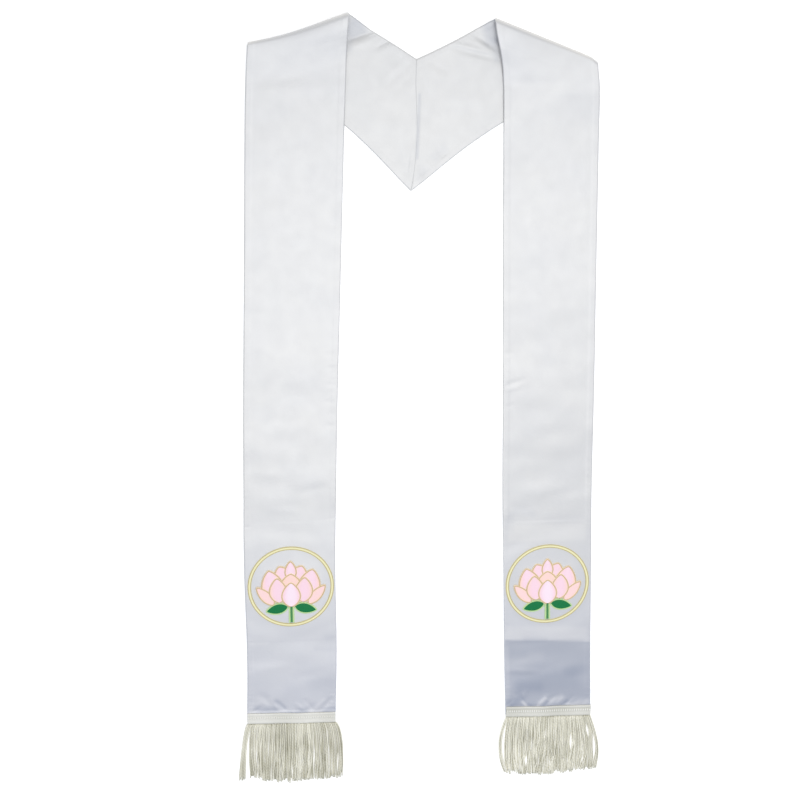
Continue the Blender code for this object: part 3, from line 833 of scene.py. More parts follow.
def backing_rise(cloth):
    """The stiff backing of the embroidery, inside the seam allowances of the front."""
    half = cloth.half
    y = cloth.middle[:, :, 1]
    above = smooth_all((half.backing_top + BACKING_SLOPE / 2 - y) / BACKING_SLOPE)
    below = smooth_all((y - half.backing_foot + BACKING_SLOPE / 2) / BACKING_SLOPE)
    inside = smooth_all((edge_distance(cloth) - ALLOWANCE) / STEP_SLOPE + 0.5)
    return SHOWN_BACKING[half.name] * above * below * inside * (cloth.travel > FRONT)


def crease_lift(creases, x, y):
    """How far the ridges and troughs move the cloth at points of the floor."""
    lift = np.zeros_like(x)
    for crease in creases:
        along_x = crease.end_x - crease.start_x
        along_y = crease.end_y - crease.start_y
        length = math.hypot(along_x, along_y)
        share = ((x - crease.start_x) * along_x + (y - crease.start_y) * along_y) / length**2
        aside = ((x - crease.start_x) * along_y - (y - crease.start_y) * along_x) / length
        fade = np.sin(np.pi * np.clip(share, 0, 1)) ** CREASE_FADE
        lift += crease.height * fade * np.exp(-((aside / crease.width) ** 2))
    return lift


def wave_lift(x, y):
    """The slow waves of the whole cloth."""
    lift = np.zeros_like(x)
    for wave in WAVES:
        turn = math.radians(wave.turn)
        run = (x * math.cos(turn) + y * math.sin(turn)) * 2 * math.pi / wave.length
        lift += wave.height * np.sin(run + wave.phase)
    return lift


def pucker_lift(cloth):
    """Small puckers along the sewn edges."""
    fade = np.exp(-(((edge_distance(cloth) - ALLOWANCE / 2) / ALLOWANCE) ** 2) * 2)
    run = cloth.run * 2 * math.pi
    ripple = sum(np.sin(run / length + length) for length in PUCKER_LENGTHS) / len(PUCKER_LENGTHS)
    return PUCKER_HEIGHT * fade * ripple


def emblem_clear(cloth):
    """0 under the ring and the header, 1 away from them, so that both lie on flat cloth."""
    half = cloth.half
    x = cloth.middle[:, :, 0] - half.ring_x
    y = cloth.middle[:, :, 1] - half.ring_y
    from_ring = smooth_all((np.hypot(x, y) - RING_RADIUS - RING_CLEAR) / RING_FADE)
    from_hem = smooth_all((cloth.run[-1] - cloth.run - HEADER_HEIGHT + HEADER_OVERHANG) / HEADER_FADE)
    return from_ring * from_hem


def face_height(cloth):
    """How far the satin face lies from the middle of the two layers."""
    x = cloth.middle[:, :, 0]
    y = cloth.middle[:, :, 1]
    shown = smooth_all((cloth.travel - MID_TURN) / (OVER - MID_TURN))
    relief = allowance_rise(cloth) * shown + backing_rise(cloth)
    loose = wave_lift(x, y) + crease_lift(FRONT_CREASES + HEM_CREASES, x, y) + pucker_lift(cloth)
    loose *= emblem_clear(cloth) * smooth_all(cloth.travel - OVER)
    flat = GAP / 2 + CLOTH + relief + loose
    return SEWN + (flat - SEWN) * edge_roundness(cloth)


def lining_height(cloth):
    """How far the lining lies from the middle of the two layers, on the other side."""
    x = cloth.middle[:, :, 0]
    y = cloth.middle[:, :, 1]
    shown = 1 - smooth_all((cloth.travel - TURN) / (MID_TURN - TURN))
    loose = crease_lift(BACK_CREASES, x, y) + wave_lift(y, x) * LINING_WAVES + pucker_lift(cloth)
    loose *= 1 - smooth_all((cloth.travel - LINING_CALM) / (TURN - LINING_CALM))
    flat = GAP / 2 + CLOTH + allowance_rise(cloth) * shown + loose
    return -SEWN - (flat - SEWN) * edge_roundness(cloth)


def tone(cloth, painted_shades):
    """How light the satin is painted at its points: painted shade towards the hem and the neck and in
    the patches, painted highlight where a patch's depth is under 0, and 1 where none reaches it.
    """
    x = cloth.middle[:, :, 0]
    y = cloth.middle[:, :, 1]
    # Painted shade towards the hem and towards the neck
    light = 1 - HEM_PAINTED_SHADE * smooth_all((HEM_PAINTED_SHADE_START - y) / (HEM_PAINTED_SHADE_START - HEM_PAINTED_SHADE_END))
    light -= NECK_PAINTED_SHADE * smooth_all((y - NECK_PAINTED_SHADE_START) / (NECK_PAINTED_SHADE_END - NECK_PAINTED_SHADE_START))
    # Each patch paints shade by its depth, or paints a highlight where the depth is under 0
    for shade in painted_shades:
        turn = math.radians(shade.turn)
        across = (x - shade.x) * math.cos(turn) + (y - shade.y) * math.sin(turn)
        along = (y - shade.y) * math.cos(turn) - (x - shade.x) * math.sin(turn)
        within = smooth_all((shade.half_width - np.abs(across)) / shade.soft + 0.5)
        within *= smooth_all((shade.half_height - np.abs(along)) / shade.soft + 0.5)
        if shade.inset:
            within *= smooth_all((edge_distance(cloth) - shade.inset) / INSET_SOFT + 0.5)
        light = light * (1 - shade.depth * within)
    return light


def mapped_grid(name, spots, uv, tint=None):
    """A grid with a point for each row and column of spots, in floor millimetres, moved there."""
    rows, columns = spots.shape[:2]
    grid = bmesh.new()
    bmesh.ops.create_grid(grid, x_segments=columns - 1, y_segments=rows - 1, size=1.0)
    mesh = bpy.data.meshes.new(name)
    grid.to_mesh(mesh)
    grid.free()
    places = spots * MM + np.array(SHIFT)
    mesh.vertices.foreach_set("co", places.astype(np.float32).ravel())
    corners = np.empty(len(mesh.loops), dtype=np.int32)
    mesh.loops.foreach_get("vertex_index", corners)
    layer = mesh.uv_layers.new(name="UVMap")
    layer.data.foreach_set("uv", (uv.reshape(-1, 2)[corners] * MM).astype(np.float32).ravel())
    if tint is not None:
        attribute = mesh.attributes.new("tint", "FLOAT", "POINT")
        tints = np.broadcast_to(tint, (rows, columns)).astype(np.float32)
        attribute.data.foreach_set("value", tints.ravel())
    mesh.update()
    return mesh


def joined(name, parts):
    """One mesh of several, with the points that meet merged."""
    whole = bmesh.new()
    for part in parts:
        whole.from_mesh(part)
        bpy.data.meshes.remove(part)
    bmesh.ops.remove_doubles(whole, verts=whole.verts, dist=1e-6)
    mesh = bpy.data.meshes.new(name)
    whole.to_mesh(mesh)
    whole.free()
    return mesh


def show(name, mesh, finish, slot, *nodes):
    """Makes the mesh a shown piece of the stole with its finish."""
    mesh.materials.append(finish)
    mesh.shade_smooth()
    piece = bpy.data.objects.new(name, mesh)
    bpy.context.scene.collection.objects.link(piece)
    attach(piece, "root")
    if nodes:
        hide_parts(*nodes)
    return piece


def give_wall(piece, thickness):
    """Gives a surface its thickness, inwards."""
    wall = piece.modifiers.new("wall", "SOLIDIFY")
    wall.thickness = thickness * MM
    wall.offset = -1.0
    return piece


# How each layer is made: its rows, its patches of painted shade, its height and its side
Make = namedtuple("Make", "spacing shades height side")
FACE_MAKE = Make(FACE_SPACING, FRONT_PAINTED_SHADES, face_height, 1)
LINING_MAKE = Make(LINING_SPACING, BACK_PAINTED_SHADES, lining_height, -1)


def cloth_shell(layer, half, make, finish, slot):
    """One layer of cloth as a thin shell on its node's form."""
    spacing, painted_shades, height, side = make
    cloth = lay_cloth(half, spacing)
    spots = cloth.middle + cloth.normal * height(cloth)[:, :, None]
    uv = pairs(cloth.column, cloth.run)
    # The tint attribute carries the satin's painted shade and painted highlight
    mesh = mapped_grid(f"satin_{layer}_{half.name}", spots, uv, tone(cloth, painted_shades))
    if half.side == side:
        mesh.flip_normals()
    piece = show(mesh.name, mesh, finish, slot, f"{layer}_{half.name}")
    give_wall(piece, SHELL)


def header_frame(half):
    """The header's outer lower corner, its direction towards the neck side, and the way up the band."""
    outer = front_point(half, 1.0, 1.0)
    inner = front_point(half, 1.0, 0.0)
    across = (inner - outer).normalized()
    up = Vector((-across.y, across.x))
    if up.y < 0:
        up.negate()
    foot = outer + across * HEADER_INSET - up * HEADER_OVERHANG
    return foot, across, up


def woven_row(y, row):
    """1 on a row of the weave, and less away from it."""
    return np.exp(-(((y - row.y) / row.width) ** 2))


def header(half):
    """The woven header: upright ribs, a corded upper edge and a row of small loops."""
    foot, across, up = header_frame(half)
    width = BAND_WIDTH - 2 * HEADER_INSET
    x = np.linspace(0, width, HEADER_COLUMNS)[None, :]
    y = np.linspace(0, HEADER_HEIGHT, HEADER_ROWS)[:, None]
    border = np.minimum(np.minimum(x, width - x), np.minimum(y, HEADER_HEIGHT - y))
    inside = np.minimum(border / HEADER_ROLL, 1.0)
    rib = HEADER_RIB * np.cos(2 * math.pi * x / HEADER_RIB_LENGTH)
    dots = np.abs(np.sin(math.pi * x / LOOP_PITCH)) ** LOOP_ROUND
    cord = woven_row(y, UPPER_CORD)
    loop = woven_row(y, LOOP_ROW) * dots
    lower = woven_row(y, LOWER_CORD)
    groove = woven_row(y, UPPER_GROOVE) * UPPER_GROOVE_SHARE + woven_row(y, LOOP_GROOVE) * (1 - dots)
    sway = 0.35 * np.sin(x / 17.0) + 0.2 * np.sin(x / 7.3 + 1.0)
    relief = WEAVE_RELIEF.cord * cord + WEAVE_RELIEF.loop * loop
    relief += WEAVE_RELIEF.lower * lower + WEAVE_RELIEF.groove * groove
    z = STACK + SHOWN_ALLOWANCE + (HEADER_TOP + rib + relief) * np.sqrt(1 - (1 - inside) ** 2)
    flat = np.array(foot) + x[..., None] * np.array(across) + (y + sway)[..., None] * np.array(up)
    spots = np.concatenate([flat, z[..., None]], axis=2)
    # Painted highlight on the cords and loops, and painted shade in the grooves and along the foot, over
    # the header's own tone
    tint = HEADER_TONE[half.name] + 0.06 * np.sin(x / 11.0) + WEAVE_PAINTED_LIGHT.cord * cord
    tint += WEAVE_PAINTED_LIGHT.lower * lower + WEAVE_PAINTED_LIGHT.foot * woven_row(y, FOOT_LINE)
    tint += LOOP_SHOW[half.name] * (WEAVE_PAINTED_LIGHT.loop * loop + WEAVE_PAINTED_LIGHT.groove * groove)
    mesh = mapped_grid(f"woven_header_{half.name}", spots, pairs(x, y), tint)
    if half.side < 0:
        mesh.flip_normals()
    return mesh


def cord_mesh(route, radius, tint, start):
    """A round cord along a route of points, closed at both ends, whose twist starts at a length."""
    steps = len(route)
    tangent = np.gradient(route, axis=0)
    tangent /= np.linalg.norm(tangent, axis=1, keepdims=True)
    side = np.cross(tangent, (0.0, 0.0, 1.0))
    side /= np.linalg.norm(side, axis=1, keepdims=True)
    over = np.cross(side, tangent)
    angle = np.linspace(0, 2 * math.pi, CORD_SIDES + 1)
    size = np.full(steps, radius)
    size[0] = 0.0
    size[-2] = radius * CORD_FLARE
    size[-1] = 0.0
    ring_side = side[:, None, :] * np.cos(angle)[None, :, None]
    ring_over = over[:, None, :] * np.sin(angle)[None, :, None]
    spots = route[:, None, :] + (ring_side + ring_over) * size[:, None, None]
    length = start + run_along(route)
    around = angle * radius
    uv = pairs(around[None, :], length[:, None])
    return mapped_grid("cord", spots, uv, np.full(spots.shape[:2], tint))


Lay = namedtuple("Lay", "pull sway phase reach")


def lock_lays(chance, count, pitch):
    """How each cord of a layer lies: it leans to the middle of its lock and sways with it."""
    lays = []
    while len(lays) < count:
        cords = chance.randint(*LOCK_CORDS)
        lean = chance.uniform(-LOCK_LEAN, LOCK_LEAN)
        sway = chance.uniform(LOCK_SWAY_LEAST, LOCK_SWAY)
        phase = chance.uniform(0, 2 * math.pi)
        reach = chance.uniform(*LOCK_LENGTHS)
        for i in range(cords):
            lays.append(Lay(lean + LOCK_PULL * pitch * ((cords - 1) / 2 - i), sway, phase, reach))
    return lays[:count]


def opening_shift(half, at, step):
    """How far a cord leans away from the openings between the locks."""
    shift = 0.0
    for opening in OPENINGS[half.name]:
        away = (at - opening.at) / OPENING_SPAN
        along = (step - opening.middle) / opening.reach
        shift += math.copysign(opening.width, away) * math.exp(-away * away - along * along)
    return shift


def cord_route(half, at, layer, lay, chance):
    """The points of one cord, from under the header to its tip just above the floor."""
    foot, across, up = header_frame(half)
    width = BAND_WIDTH - 2 * HEADER_INSET
    from_outside = 1 - at if half is RIGHT else at
    inset = CORD_RADIUS + from_outside * (width - 2 * CORD_RADIUS)
    root = foot + across * inset + up * CORD_ROOT_UP
    along_x = across * half.side * -1
    spread = FRINGE_SPREAD[half.name]
    length = FRINGE_LENGTH[half.name] * between_rows(spread, "at", "length", at) * lay.reach
    length *= chance.uniform(*CORD_LENGTHS)
    middle = between_rows(spread, "at", "middle", at)
    tip = between_rows(spread, "at", "tip", at)
    inside = smooth((min(at, 1 - at) - CALM_START) / CALM_FADE)
    calm = layer.loose * LOOSE[half.name] * mix(CALM_LEAST, 1.0, inside)
    wander = chance.uniform(-CORD_WANDER, CORD_WANDER) * calm
    wave = chance.uniform(WAVE_LEAST, CORD_WAVE) * calm
    phase = chance.uniform(0, 2 * math.pi)
    turns = chance.uniform(*CORD_TURNS)
    rest = layer.rest + chance.uniform(-CORD_REST_SPAN, CORD_REST_SPAN)
    start = STACK + SHOWN_ALLOWANCE + layer.root - CORD_ROOT_SUNK
    route = []
    for step in np.append(np.linspace(0, 1, CORD_STEPS), 1 + CORD_END):
        paced = step ** SPREAD_PACE[half.name]
        shift = middle * 4 * paced * (1 - paced) + tip * paced * (2 * paced - 1)
        shift += wander * step + lay.pull * calm * step * step + opening_shift(half, at, step)
        shift += lay.sway * calm * step * math.sin(2 * math.pi * LOCK_SWAY_TURNS * step + lay.phase)
        shift += wave * step**WAVE_GROWTH * math.sin(2 * math.pi * turns * step + phase)
        spot = root + along_x * shift - up * length * step
        height = mix(start, rest, smooth(step / CORD_DROP))
        route.append((spot.x, spot.y, height))
    return np.array(route)


def fringe(half):
    """The layers of cords as one mesh."""
    chance = random.Random(FRINGE_SEED[half.name])
    parts = []
    for layer in CORD_LAYERS:
        pitch = (BAND_WIDTH - 2 * HEADER_INSET) / layer.cords
        lays = lock_lays(chance, layer.cords, pitch)
        for i in range(layer.cords):
            at = (i + 0.5 + chance.uniform(-CORD_JITTER, CORD_JITTER)) / layer.cords
            route = cord_route(half, at, layer, lays[i], chance)
            radius = CORD_RADIUS * chance.uniform(*CORD_SIZES)
            # Each cord's tint: its layer's painted shade, the half's tone and a random tone
            tint = CORD_TONE[half.name] + layer.tone + CORD_TONE_SPAN * chance.random()
            parts.append(cord_mesh(route, radius, tint, i * CORD_STAGGER))
    return joined(f"corded_fringe_{half.name}", parts)


def emblem_floor(half):
    """The height of the satin under the emblem."""
    share = front_share(half, half.ring_y)
    return front_surface(half, share, 0.5).z + GAP / 2 + CLOTH + SHOWN_BACKING[half.name]


def emblem_turn(half):
    """The emblem's own directions on the floor: across and up the band."""
    above = front_edge(half, half.ring_y + RING_RADIUS, 0.5)
    below = front_edge(half, half.ring_y - RING_RADIUS, 0.5)
    up = (above - below).normalized()
    return np.array((up.y, -up.x)), np.array(up)


def on_emblem(half, x, y, z):
    """Points measured from the ring's centre, moved to the floor."""
    across, up = emblem_turn(half)
    centre = np.array((half.ring_x, half.ring_y))
    flat = centre + x[..., None] * across + y[..., None] * up
    return np.concatenate([flat, (emblem_floor(half) + z)[..., None]], axis=-1)


def oval_width(share):
    """The width of a petal or a leaf, from its root at 0 to its tip at 1."""
    return np.sin(np.pi * np.clip(share, 0, 1) ** PETAL_SKEW) ** PETAL_FULLNESS


def covered(x, y, above, margin):
    """Where points of the emblem lie under the petals above them."""
    under = np.zeros(np.broadcast(x, y).shape, dtype=bool)
    for shape, flip in above:
        root = np.array((shape.root_x * flip, shape.root_y))
        along = np.array((shape.tip_x * flip, shape.tip_y)) - root
        length = np.hypot(*along)
        share = ((x - root[0]) * along[0] + (y - root[1]) * along[1]) / length**2
        aside = ((x - root[0]) * along[1] - (y - root[1]) * along[0]) / length
        under |= np.abs(aside) < shape.half_width * oval_width(share) - margin
    return under


def stitched_oval(half, shape, flip, height, tint, above=()):
    """The fill of a petal or a leaf: stitches from side to side, each a low ridge."""
    root = np.array((shape.root_x * flip, shape.root_y))
    along = np.array((shape.tip_x * flip, shape.tip_y)) - root
    length = np.hypot(*along)
    aside = np.array((along[1], -along[0])) / length * shape.half_width * flip
    rows = 2 * round(length / THREAD_PITCH) + 1
    share = np.linspace(*OVAL_ENDS, rows)[:, None]
    side = np.linspace(-1, 1, THREAD_COLUMNS)[None, :]
    width = oval_width(share)
    x = root[0] + along[0] * share + aside[0] * side * width
    y = root[1] + along[1] * share + aside[1] * side * width
    ridge = THREAD_RELIEF * (np.arange(rows) % 2)[:, None]
    z = height - DOME + DOME * (1 - side**2) + ridge
    z = np.where(np.abs(side) < 1, z, z - OVAL_EDGE_DROP)
    z = np.where(covered(x, y, above, FILL_COVER_MARGIN), z - COVER_DROP, z)
    z[[0, -1]] = -SUNK
    uv = pairs(side * width * shape.half_width, share * length)
    blush = tint * np.abs(side) ** BLUSH_EDGE * (BLUSH_ROOT + BLUSH_GROWTH * share)
    shade = np.broadcast_to(tint - blush, z.shape)
    mesh = mapped_grid("fill", on_emblem(half, x, y, z), uv, shade)
    if flip > 0:
        mesh.flip_normals()
    return mesh


def oval_path(shape, flip):
    """The outline of a petal or a leaf, from its root over its tip and back."""
    root = np.array((shape.root_x * flip, shape.root_y))
    along = np.array((shape.tip_x * flip, shape.tip_y)) - root
    aside = np.array((along[1], -along[0])) / np.hypot(*along) * shape.half_width
    there = np.linspace(PATH_START, 1.0, PATH_POINTS)
    share = np.concatenate([there, there[-2::-1]])
    side = np.concatenate([np.ones(PATH_POINTS), -np.ones(PATH_POINTS - 1)])
    width = (oval_width(share) * side)[:, None]
    return root + along * share[:, None] + aside * width


def even_path(path, pitch):
    """A path with a point every half pitch."""
    steps = run_along(path)
    count = 2 * round(steps[-1] / pitch) + 1
    at = np.linspace(0, steps[-1], count)
    return np.stack([np.interp(at, steps, path[:, 0]), np.interp(at, steps, path[:, 1])], axis=1), at


def border(half, path, height, middle, flank, radius=BORDER_RADIUS, above=(), focus=2):
    """A close row of slanted stitches along a path: a round top with painted shading, from its middle
    tint on top to its flank tint on its sides.
    """
    line, at = even_path(path, BORDER_PITCH)
    tangent = np.gradient(line, axis=0)
    if np.allclose(line[0], line[-1]):
        tangent[0] = tangent[-1] = line[1] - line[-2]
    tangent /= np.maximum(np.linalg.norm(tangent, axis=1, keepdims=True), 1e-9)
    aside = np.stack([tangent[:, 1], -tangent[:, 0]], axis=1)
    angle = np.linspace(-BORDER_REACH, BORDER_REACH, BORDER_COLUMNS)[None, :]
    ridge = (np.arange(len(line)) % 2)[:, None] * 2 - 1
    size = radius * (1 + BORDER_RELIEF * ridge * np.cos(angle))
    if not np.allclose(line[0], line[-1]):
        size[[0, -1]] = 0.0
    x = line[:, 0][:, None] + aside[:, 0][:, None] * np.sin(angle) * size
    y = line[:, 1][:, None] + aside[:, 1][:, None] * np.sin(angle) * size
    z = np.where(size > 0, height + np.cos(angle) * size, -SUNK)
    hidden = covered(line[:, 0][:, None], line[:, 1][:, None], above, COVER_MARGIN)
    z = np.where(hidden, z - COVER_DROP, z)
    z[:, [0, -1]] = -SUNK
    uv = pairs(angle * radius, at[:, None])
    # Painted shading across the round: the middle tint on its top, the flank tint on its sloping sides
    tint = mix(flank, middle, np.cos(angle).clip(0, 1) ** focus)
    mesh = mapped_grid("border", on_emblem(half, x, y, z), uv, tint)
    mesh.flip_normals()
    return mesh


def circle_path(radius):
    """A closed circle round the ring's centre."""
    angle = np.linspace(0, 2 * math.pi, CIRCLE_POINTS)
    return np.stack([np.cos(angle) * radius, np.sin(angle) * radius], axis=1)


def ring(half):
    """The gold ring: two stitched lines with paler stitches across between them."""
    outer = RING_RADIUS - BORDER_RADIUS
    inner = RING_RADIUS - RING_WIDTH + BORDER_RADIUS
    rows = 2 * round(2 * math.pi * RING_RADIUS / BORDER_PITCH) + 1
    angle = np.linspace(0, 2 * math.pi, rows)[:, None]
    radius = np.linspace(inner, outer, RING_COLUMNS)[None, :]
    ridge = THREAD_RELIEF * (np.arange(rows) % 2)[:, None]
    z = RING_HEIGHT - RING_FILL_DROP + ridge + 0.0 * radius
    fill = mapped_grid(
        "fill",
        on_emblem(half, np.cos(angle) * radius, np.sin(angle) * radius, z),
        pairs(radius, angle * RING_RADIUS),
        np.ones(z.shape),
    )
    fill.flip_normals()
    height = RING_HEIGHT - RING_LINE_DROP
    lines = [border(half, circle_path(r), height, 0.0, RING_LINE_FLANK) for r in (outer, inner)]
    return joined(f"stitched_ring_{half.name}", [fill, *lines])


def petals(half):
    """The lotus: the fills of its petals, and their gold outlines."""
    fills = []
    outlines = []
    laid = [(petal, flip) for petal in PETALS for flip in ((1.0, -1.0) if petal.tip_x else (1.0,))]
    for place, (petal, flip) in enumerate(laid):
        above = laid[place + 1 :]
        height = GAP + PETAL_HEIGHT + PETAL_STEP * place
        fills.append(stitched_oval(half, petal, flip, height, petal.tint, above))
        path = oval_path(petal, flip)
        low = height - OUTLINE_DROP
        outlines.append(border(half, path, low, 0.0, 1.0, OUTLINE_RADIUS, above, OUTLINE_FOCUS))
    return joined(f"petal_fill_{half.name}", fills), joined(f"petal_outline_{half.name}", outlines)


def leaves(half):
    """The two leaves and the stem, with their lighter edges."""
    height = GAP + LEAF_HEIGHT
    low = height - LEAF_EDGE_DROP
    parts = []
    for flip in (1.0, -1.0):
        parts.append(stitched_oval(half, LEAF, flip, height, 0.0))
        parts.append(border(half, oval_path(LEAF, flip), low, LEAF_EDGE_TINT, 1.0, LEAF_EDGE_RADIUS))
    rows = 2 * round((STEM_TOP - STEM_FOOT) / THREAD_PITCH) + 1
    y = np.linspace(STEM_FOOT, STEM_TOP, rows)[:, None]
    x = np.linspace(-STEM_WIDTH / 2, STEM_WIDTH / 2, THREAD_COLUMNS)[None, :]
    z = height - STEM_DROP + THREAD_RELIEF * (np.arange(rows) % 2)[:, None] + 0.0 * x
    z[[0, -1]] = -SUNK
    spots = on_emblem(half, *np.broadcast_arrays(x, y), z)
    parts.append(mapped_grid("stem", spots, pairs(x, y), np.full(z.shape, STEM_TINT)))
    for side in (-1, 1):
        edge = side * (STEM_WIDTH / 2 - STEM_EDGE / 2)
        line = np.array([(edge, STEM_FOOT), (edge, STEM_TOP)])
        parts.append(border(half, line, low, LEAF_EDGE_TINT, 1.0, STEM_EDGE))
    return joined(f"stitched_leaves_{half.name}", parts)


class Wire:
    """An output of a material's node, which adds and multiplies as a number does."""

    def __init__(self, finish, socket):
        self.finish = finish
        self.socket = socket

    def math(self, operation, first, second):
        return self.finish.node("ShaderNodeMath", {"operation": operation}, {0: first, 1: second})

    def __add__(self, other):
        return self.math("ADD", self, other)

    def __sub__(self, other):
        return self.math("SUBTRACT", self, other)

    def __rsub__(self, other):
        return self.math("SUBTRACT", other, self)

    def __mul__(self, other):
        return self.math("MULTIPLY", self, other)

    def __truediv__(self, other):
        return self.math("DIVIDE", self, other)

    __radd__ = __add__
    __rmul__ = __mul__


class Nodes:
    """A tree of nodes, to which nodes are added with their settings and inputs."""

    def __init__(self, tree):
        self.tree = tree

    def node(self, kind, settings, values, output=0):
        """Adds a node: its settings first, then the values or links of its sockets."""
        made = self.tree.nodes.new(kind)
        for key, value in settings.items():
            setattr(made, key, value)
        for key, value in values.items():
            self.feed(made.inputs[key], value)
        return Wire(self, made.outputs[output])

    def feed(self, socket, value):
        if isinstance(value, Wire):
            self.tree.links.new(value.socket, socket)
        else:
            socket.default_value = value

    def blend(self, factor, first, second, clamp=True):
        """A mix of two colours."""
        settings = {"data_type": "RGBA", "clamp_factor": clamp}
        return self.node("ShaderNodeMix", settings, {0: factor, 6: first, 7: second}, 2)

    def product(self, first, second):
        """Two colours multiplied."""
        return self.node("ShaderNodeVectorMath", {"operation": "MULTIPLY"}, {0: first, 1: second[:3]})

    def split(self, vector, axis):
        return self.node("ShaderNodeSeparateXYZ", {}, {0: vector}, axis)


class Finish(Nodes):
    """A material and the nodes that vary it over a surface."""

    def __init__(self, name, **uniform):
        self.material = bpy.data.materials.new(name)
        self.material.use_nodes = True
        super().__init__(self.material.node_tree)
        self.shader = self.tree.nodes["Principled BSDF"]
        for socket, value in uniform.items():
            self.shader.inputs[socket.replace("_", " ")].default_value = value

    def place(self):
        """The point of the surface, in metres."""
        return self.node("ShaderNodeTexCoord", {}, {}, "Object")

    def woven(self):
        """The cloth's own place: across and along, in metres."""
        return self.node("ShaderNodeUVMap", {"uv_map": "UVMap"}, {})

    def noise(self, vector, scale, detail=2.0, roughness=0.5):
        values = {"Vector": vector, "Scale": scale, "Detail": detail, "Roughness": roughness}
        return self.node("ShaderNodeTexNoise", {}, values)

    def wave(self, run, length, shift=0.0):
        """A wave between 0 and 1 that repeats every length, moved along by a shift."""
        turns = run * (2 * math.pi / length) + shift
        sine = self.node("ShaderNodeMath", {"operation": "SINE"}, {0: turns})
        return sine * 0.5 + 0.5

    def tint(self):
        return self.node("ShaderNodeAttribute", {"attribute_name": "tint"}, {}, "Fac")

    def colour(self, value):
        self.feed(self.shader.inputs["Base Color"], value)

    def roughness(self, value):
        self.feed(self.shader.inputs["Roughness"], value)

    def bump(self, height, strength, distance):
        values = {"Height": height, "Strength": strength, "Distance": distance}
        normal = self.node("ShaderNodeBump", {}, values)
        self.feed(self.shader.inputs["Normal"], normal)


def rgb(red, green, blue):
    """A colour given as it looks on a screen, 0 to 255, made linear."""
    parts = [part / 255 for part in (red, green, blue)]
    linear = [part / 12.92 if part <= 0.04045 else ((part + 0.055) / 1.055) ** 2.4 for part in parts]
    return (*linear, 1.0)


def satin(name, light, shade, roughness):
    """Woven satin: long fine floats, slow clouds of tone, painted shade and highlight from the tint,
    bluer painted shade at the hem.
    """
    finish = Finish(name, IOR=SATIN_IOR, Specular_IOR_Level=1.0)
    place = finish.place()
    woven = finish.woven()
    cloud = finish.noise(place, 16.0, 3.0, 0.55)
    pale = finish.blend(cloud, shade, light)
    # Painted blue shade, which grows towards the hem
    towards_hem = (finish.split(place, 1) - HEM_PAINTED_BLUE_START) / (HEM_PAINTED_BLUE_END - HEM_PAINTED_BLUE_START)
    with_painted_blue = finish.blend(towards_hem, pale, finish.product(pale, HEM_PAINTED_BLUE))
    # The tint attribute paints shade towards the dark shade colour, and paints highlight past the
    # satin's colour where it is over 1
    finish.colour(finish.blend(finish.tint(), SATIN_PAINTED_SHADE, with_painted_blue, False))
    finish.roughness(finish.noise(place, 60.0) * 0.12 + roughness)
    across = finish.split(woven, 0)
    along = finish.split(woven, 1)
    float_line = finish.wave(along, FLOAT_LENGTH, finish.noise(woven, 400.0) * 3.0)
    float_end = finish.wave(along, FLOAT_END_ALONG, across * (2 * math.pi / FLOAT_END_ACROSS))
    rumple = finish.noise(place, 45.0, 2.0, 0.5)
    height = float_line * 0.035 + float_end * 0.02 + rumple * 0.5
    finish.bump(height, 0.5, 0.0004)
    return finish.material


def corded(name, light, shade):
    """A twisted cord: slanted plies, with each cord a little lighter or darker, and slow clouds of
    painted shade for the fringe's depth.
    """
    finish = Finish(name, Roughness=0.72, Sheen_Weight=0.3, Sheen_Roughness=0.5)
    woven = finish.woven()
    around = finish.split(woven, 0)
    along = finish.split(woven, 1)
    ply = finish.wave(along + around, PLY_LENGTH)
    fuzz = finish.noise(woven, 900.0, 3.0, 0.6)
    cord = finish.tint()
    # Slow random clouds of painted shade, standing in for the shade deep in the fringe
    depth = finish.noise(finish.place(), 32.0, 2.0, 0.5)
    finish.colour(finish.blend(cord * 0.75 + ply * 0.2 + fuzz * 0.35 + depth * 0.8 - 0.58, shade, light))
    finish.bump(ply + fuzz * 0.5, 0.7, 0.0003)
    return finish.material


def webbing(name, light, shade):
    """The header's tight weave: fine upright ribs, with painted highlight on its loops and painted shade
    in its grooves.
    """
    finish = Finish(name, Roughness=0.65, Sheen_Weight=0.25, Sheen_Roughness=0.5)
    woven = finish.woven()
    rib = finish.wave(finish.split(woven, 0), RIB_LENGTH)
    pick = finish.wave(finish.split(woven, 1), PICK_LENGTH)
    fuzz = finish.noise(woven, 700.0, 3.0, 0.6)
    finish.colour(finish.blend(finish.tint() + rib * pick * 0.12 + fuzz * 0.3 - 0.18, shade, light))
    finish.bump(rib * pick + fuzz * 0.5, 0.6, 0.0002)
    return finish.material


def thread(name, metallic, roughness, *colours):
    """Embroidery thread, which runs through its colours with the stitches' tint."""
    finish = Finish(name, Metallic=metallic, Specular_IOR_Level=0.2)
    woven = finish.woven()
    strand = finish.noise(woven, 1500.0, 2.0, 0.5)
    tint = finish.tint() + strand * 0.24 - 0.12
    first, *rest = colours
    colour = first
    for i, following in enumerate(rest):
        colour = finish.blend(tint * len(rest) - i, colour, following)
    finish.colour(colour)
    finish.roughness(finish.noise(woven, 800.0) * 0.2 + roughness)
    along = finish.split(woven, 1)
    finish.bump(finish.wave(along, STRAND_LENGTH) + strand, 0.35, 0.0001)
    return finish.material


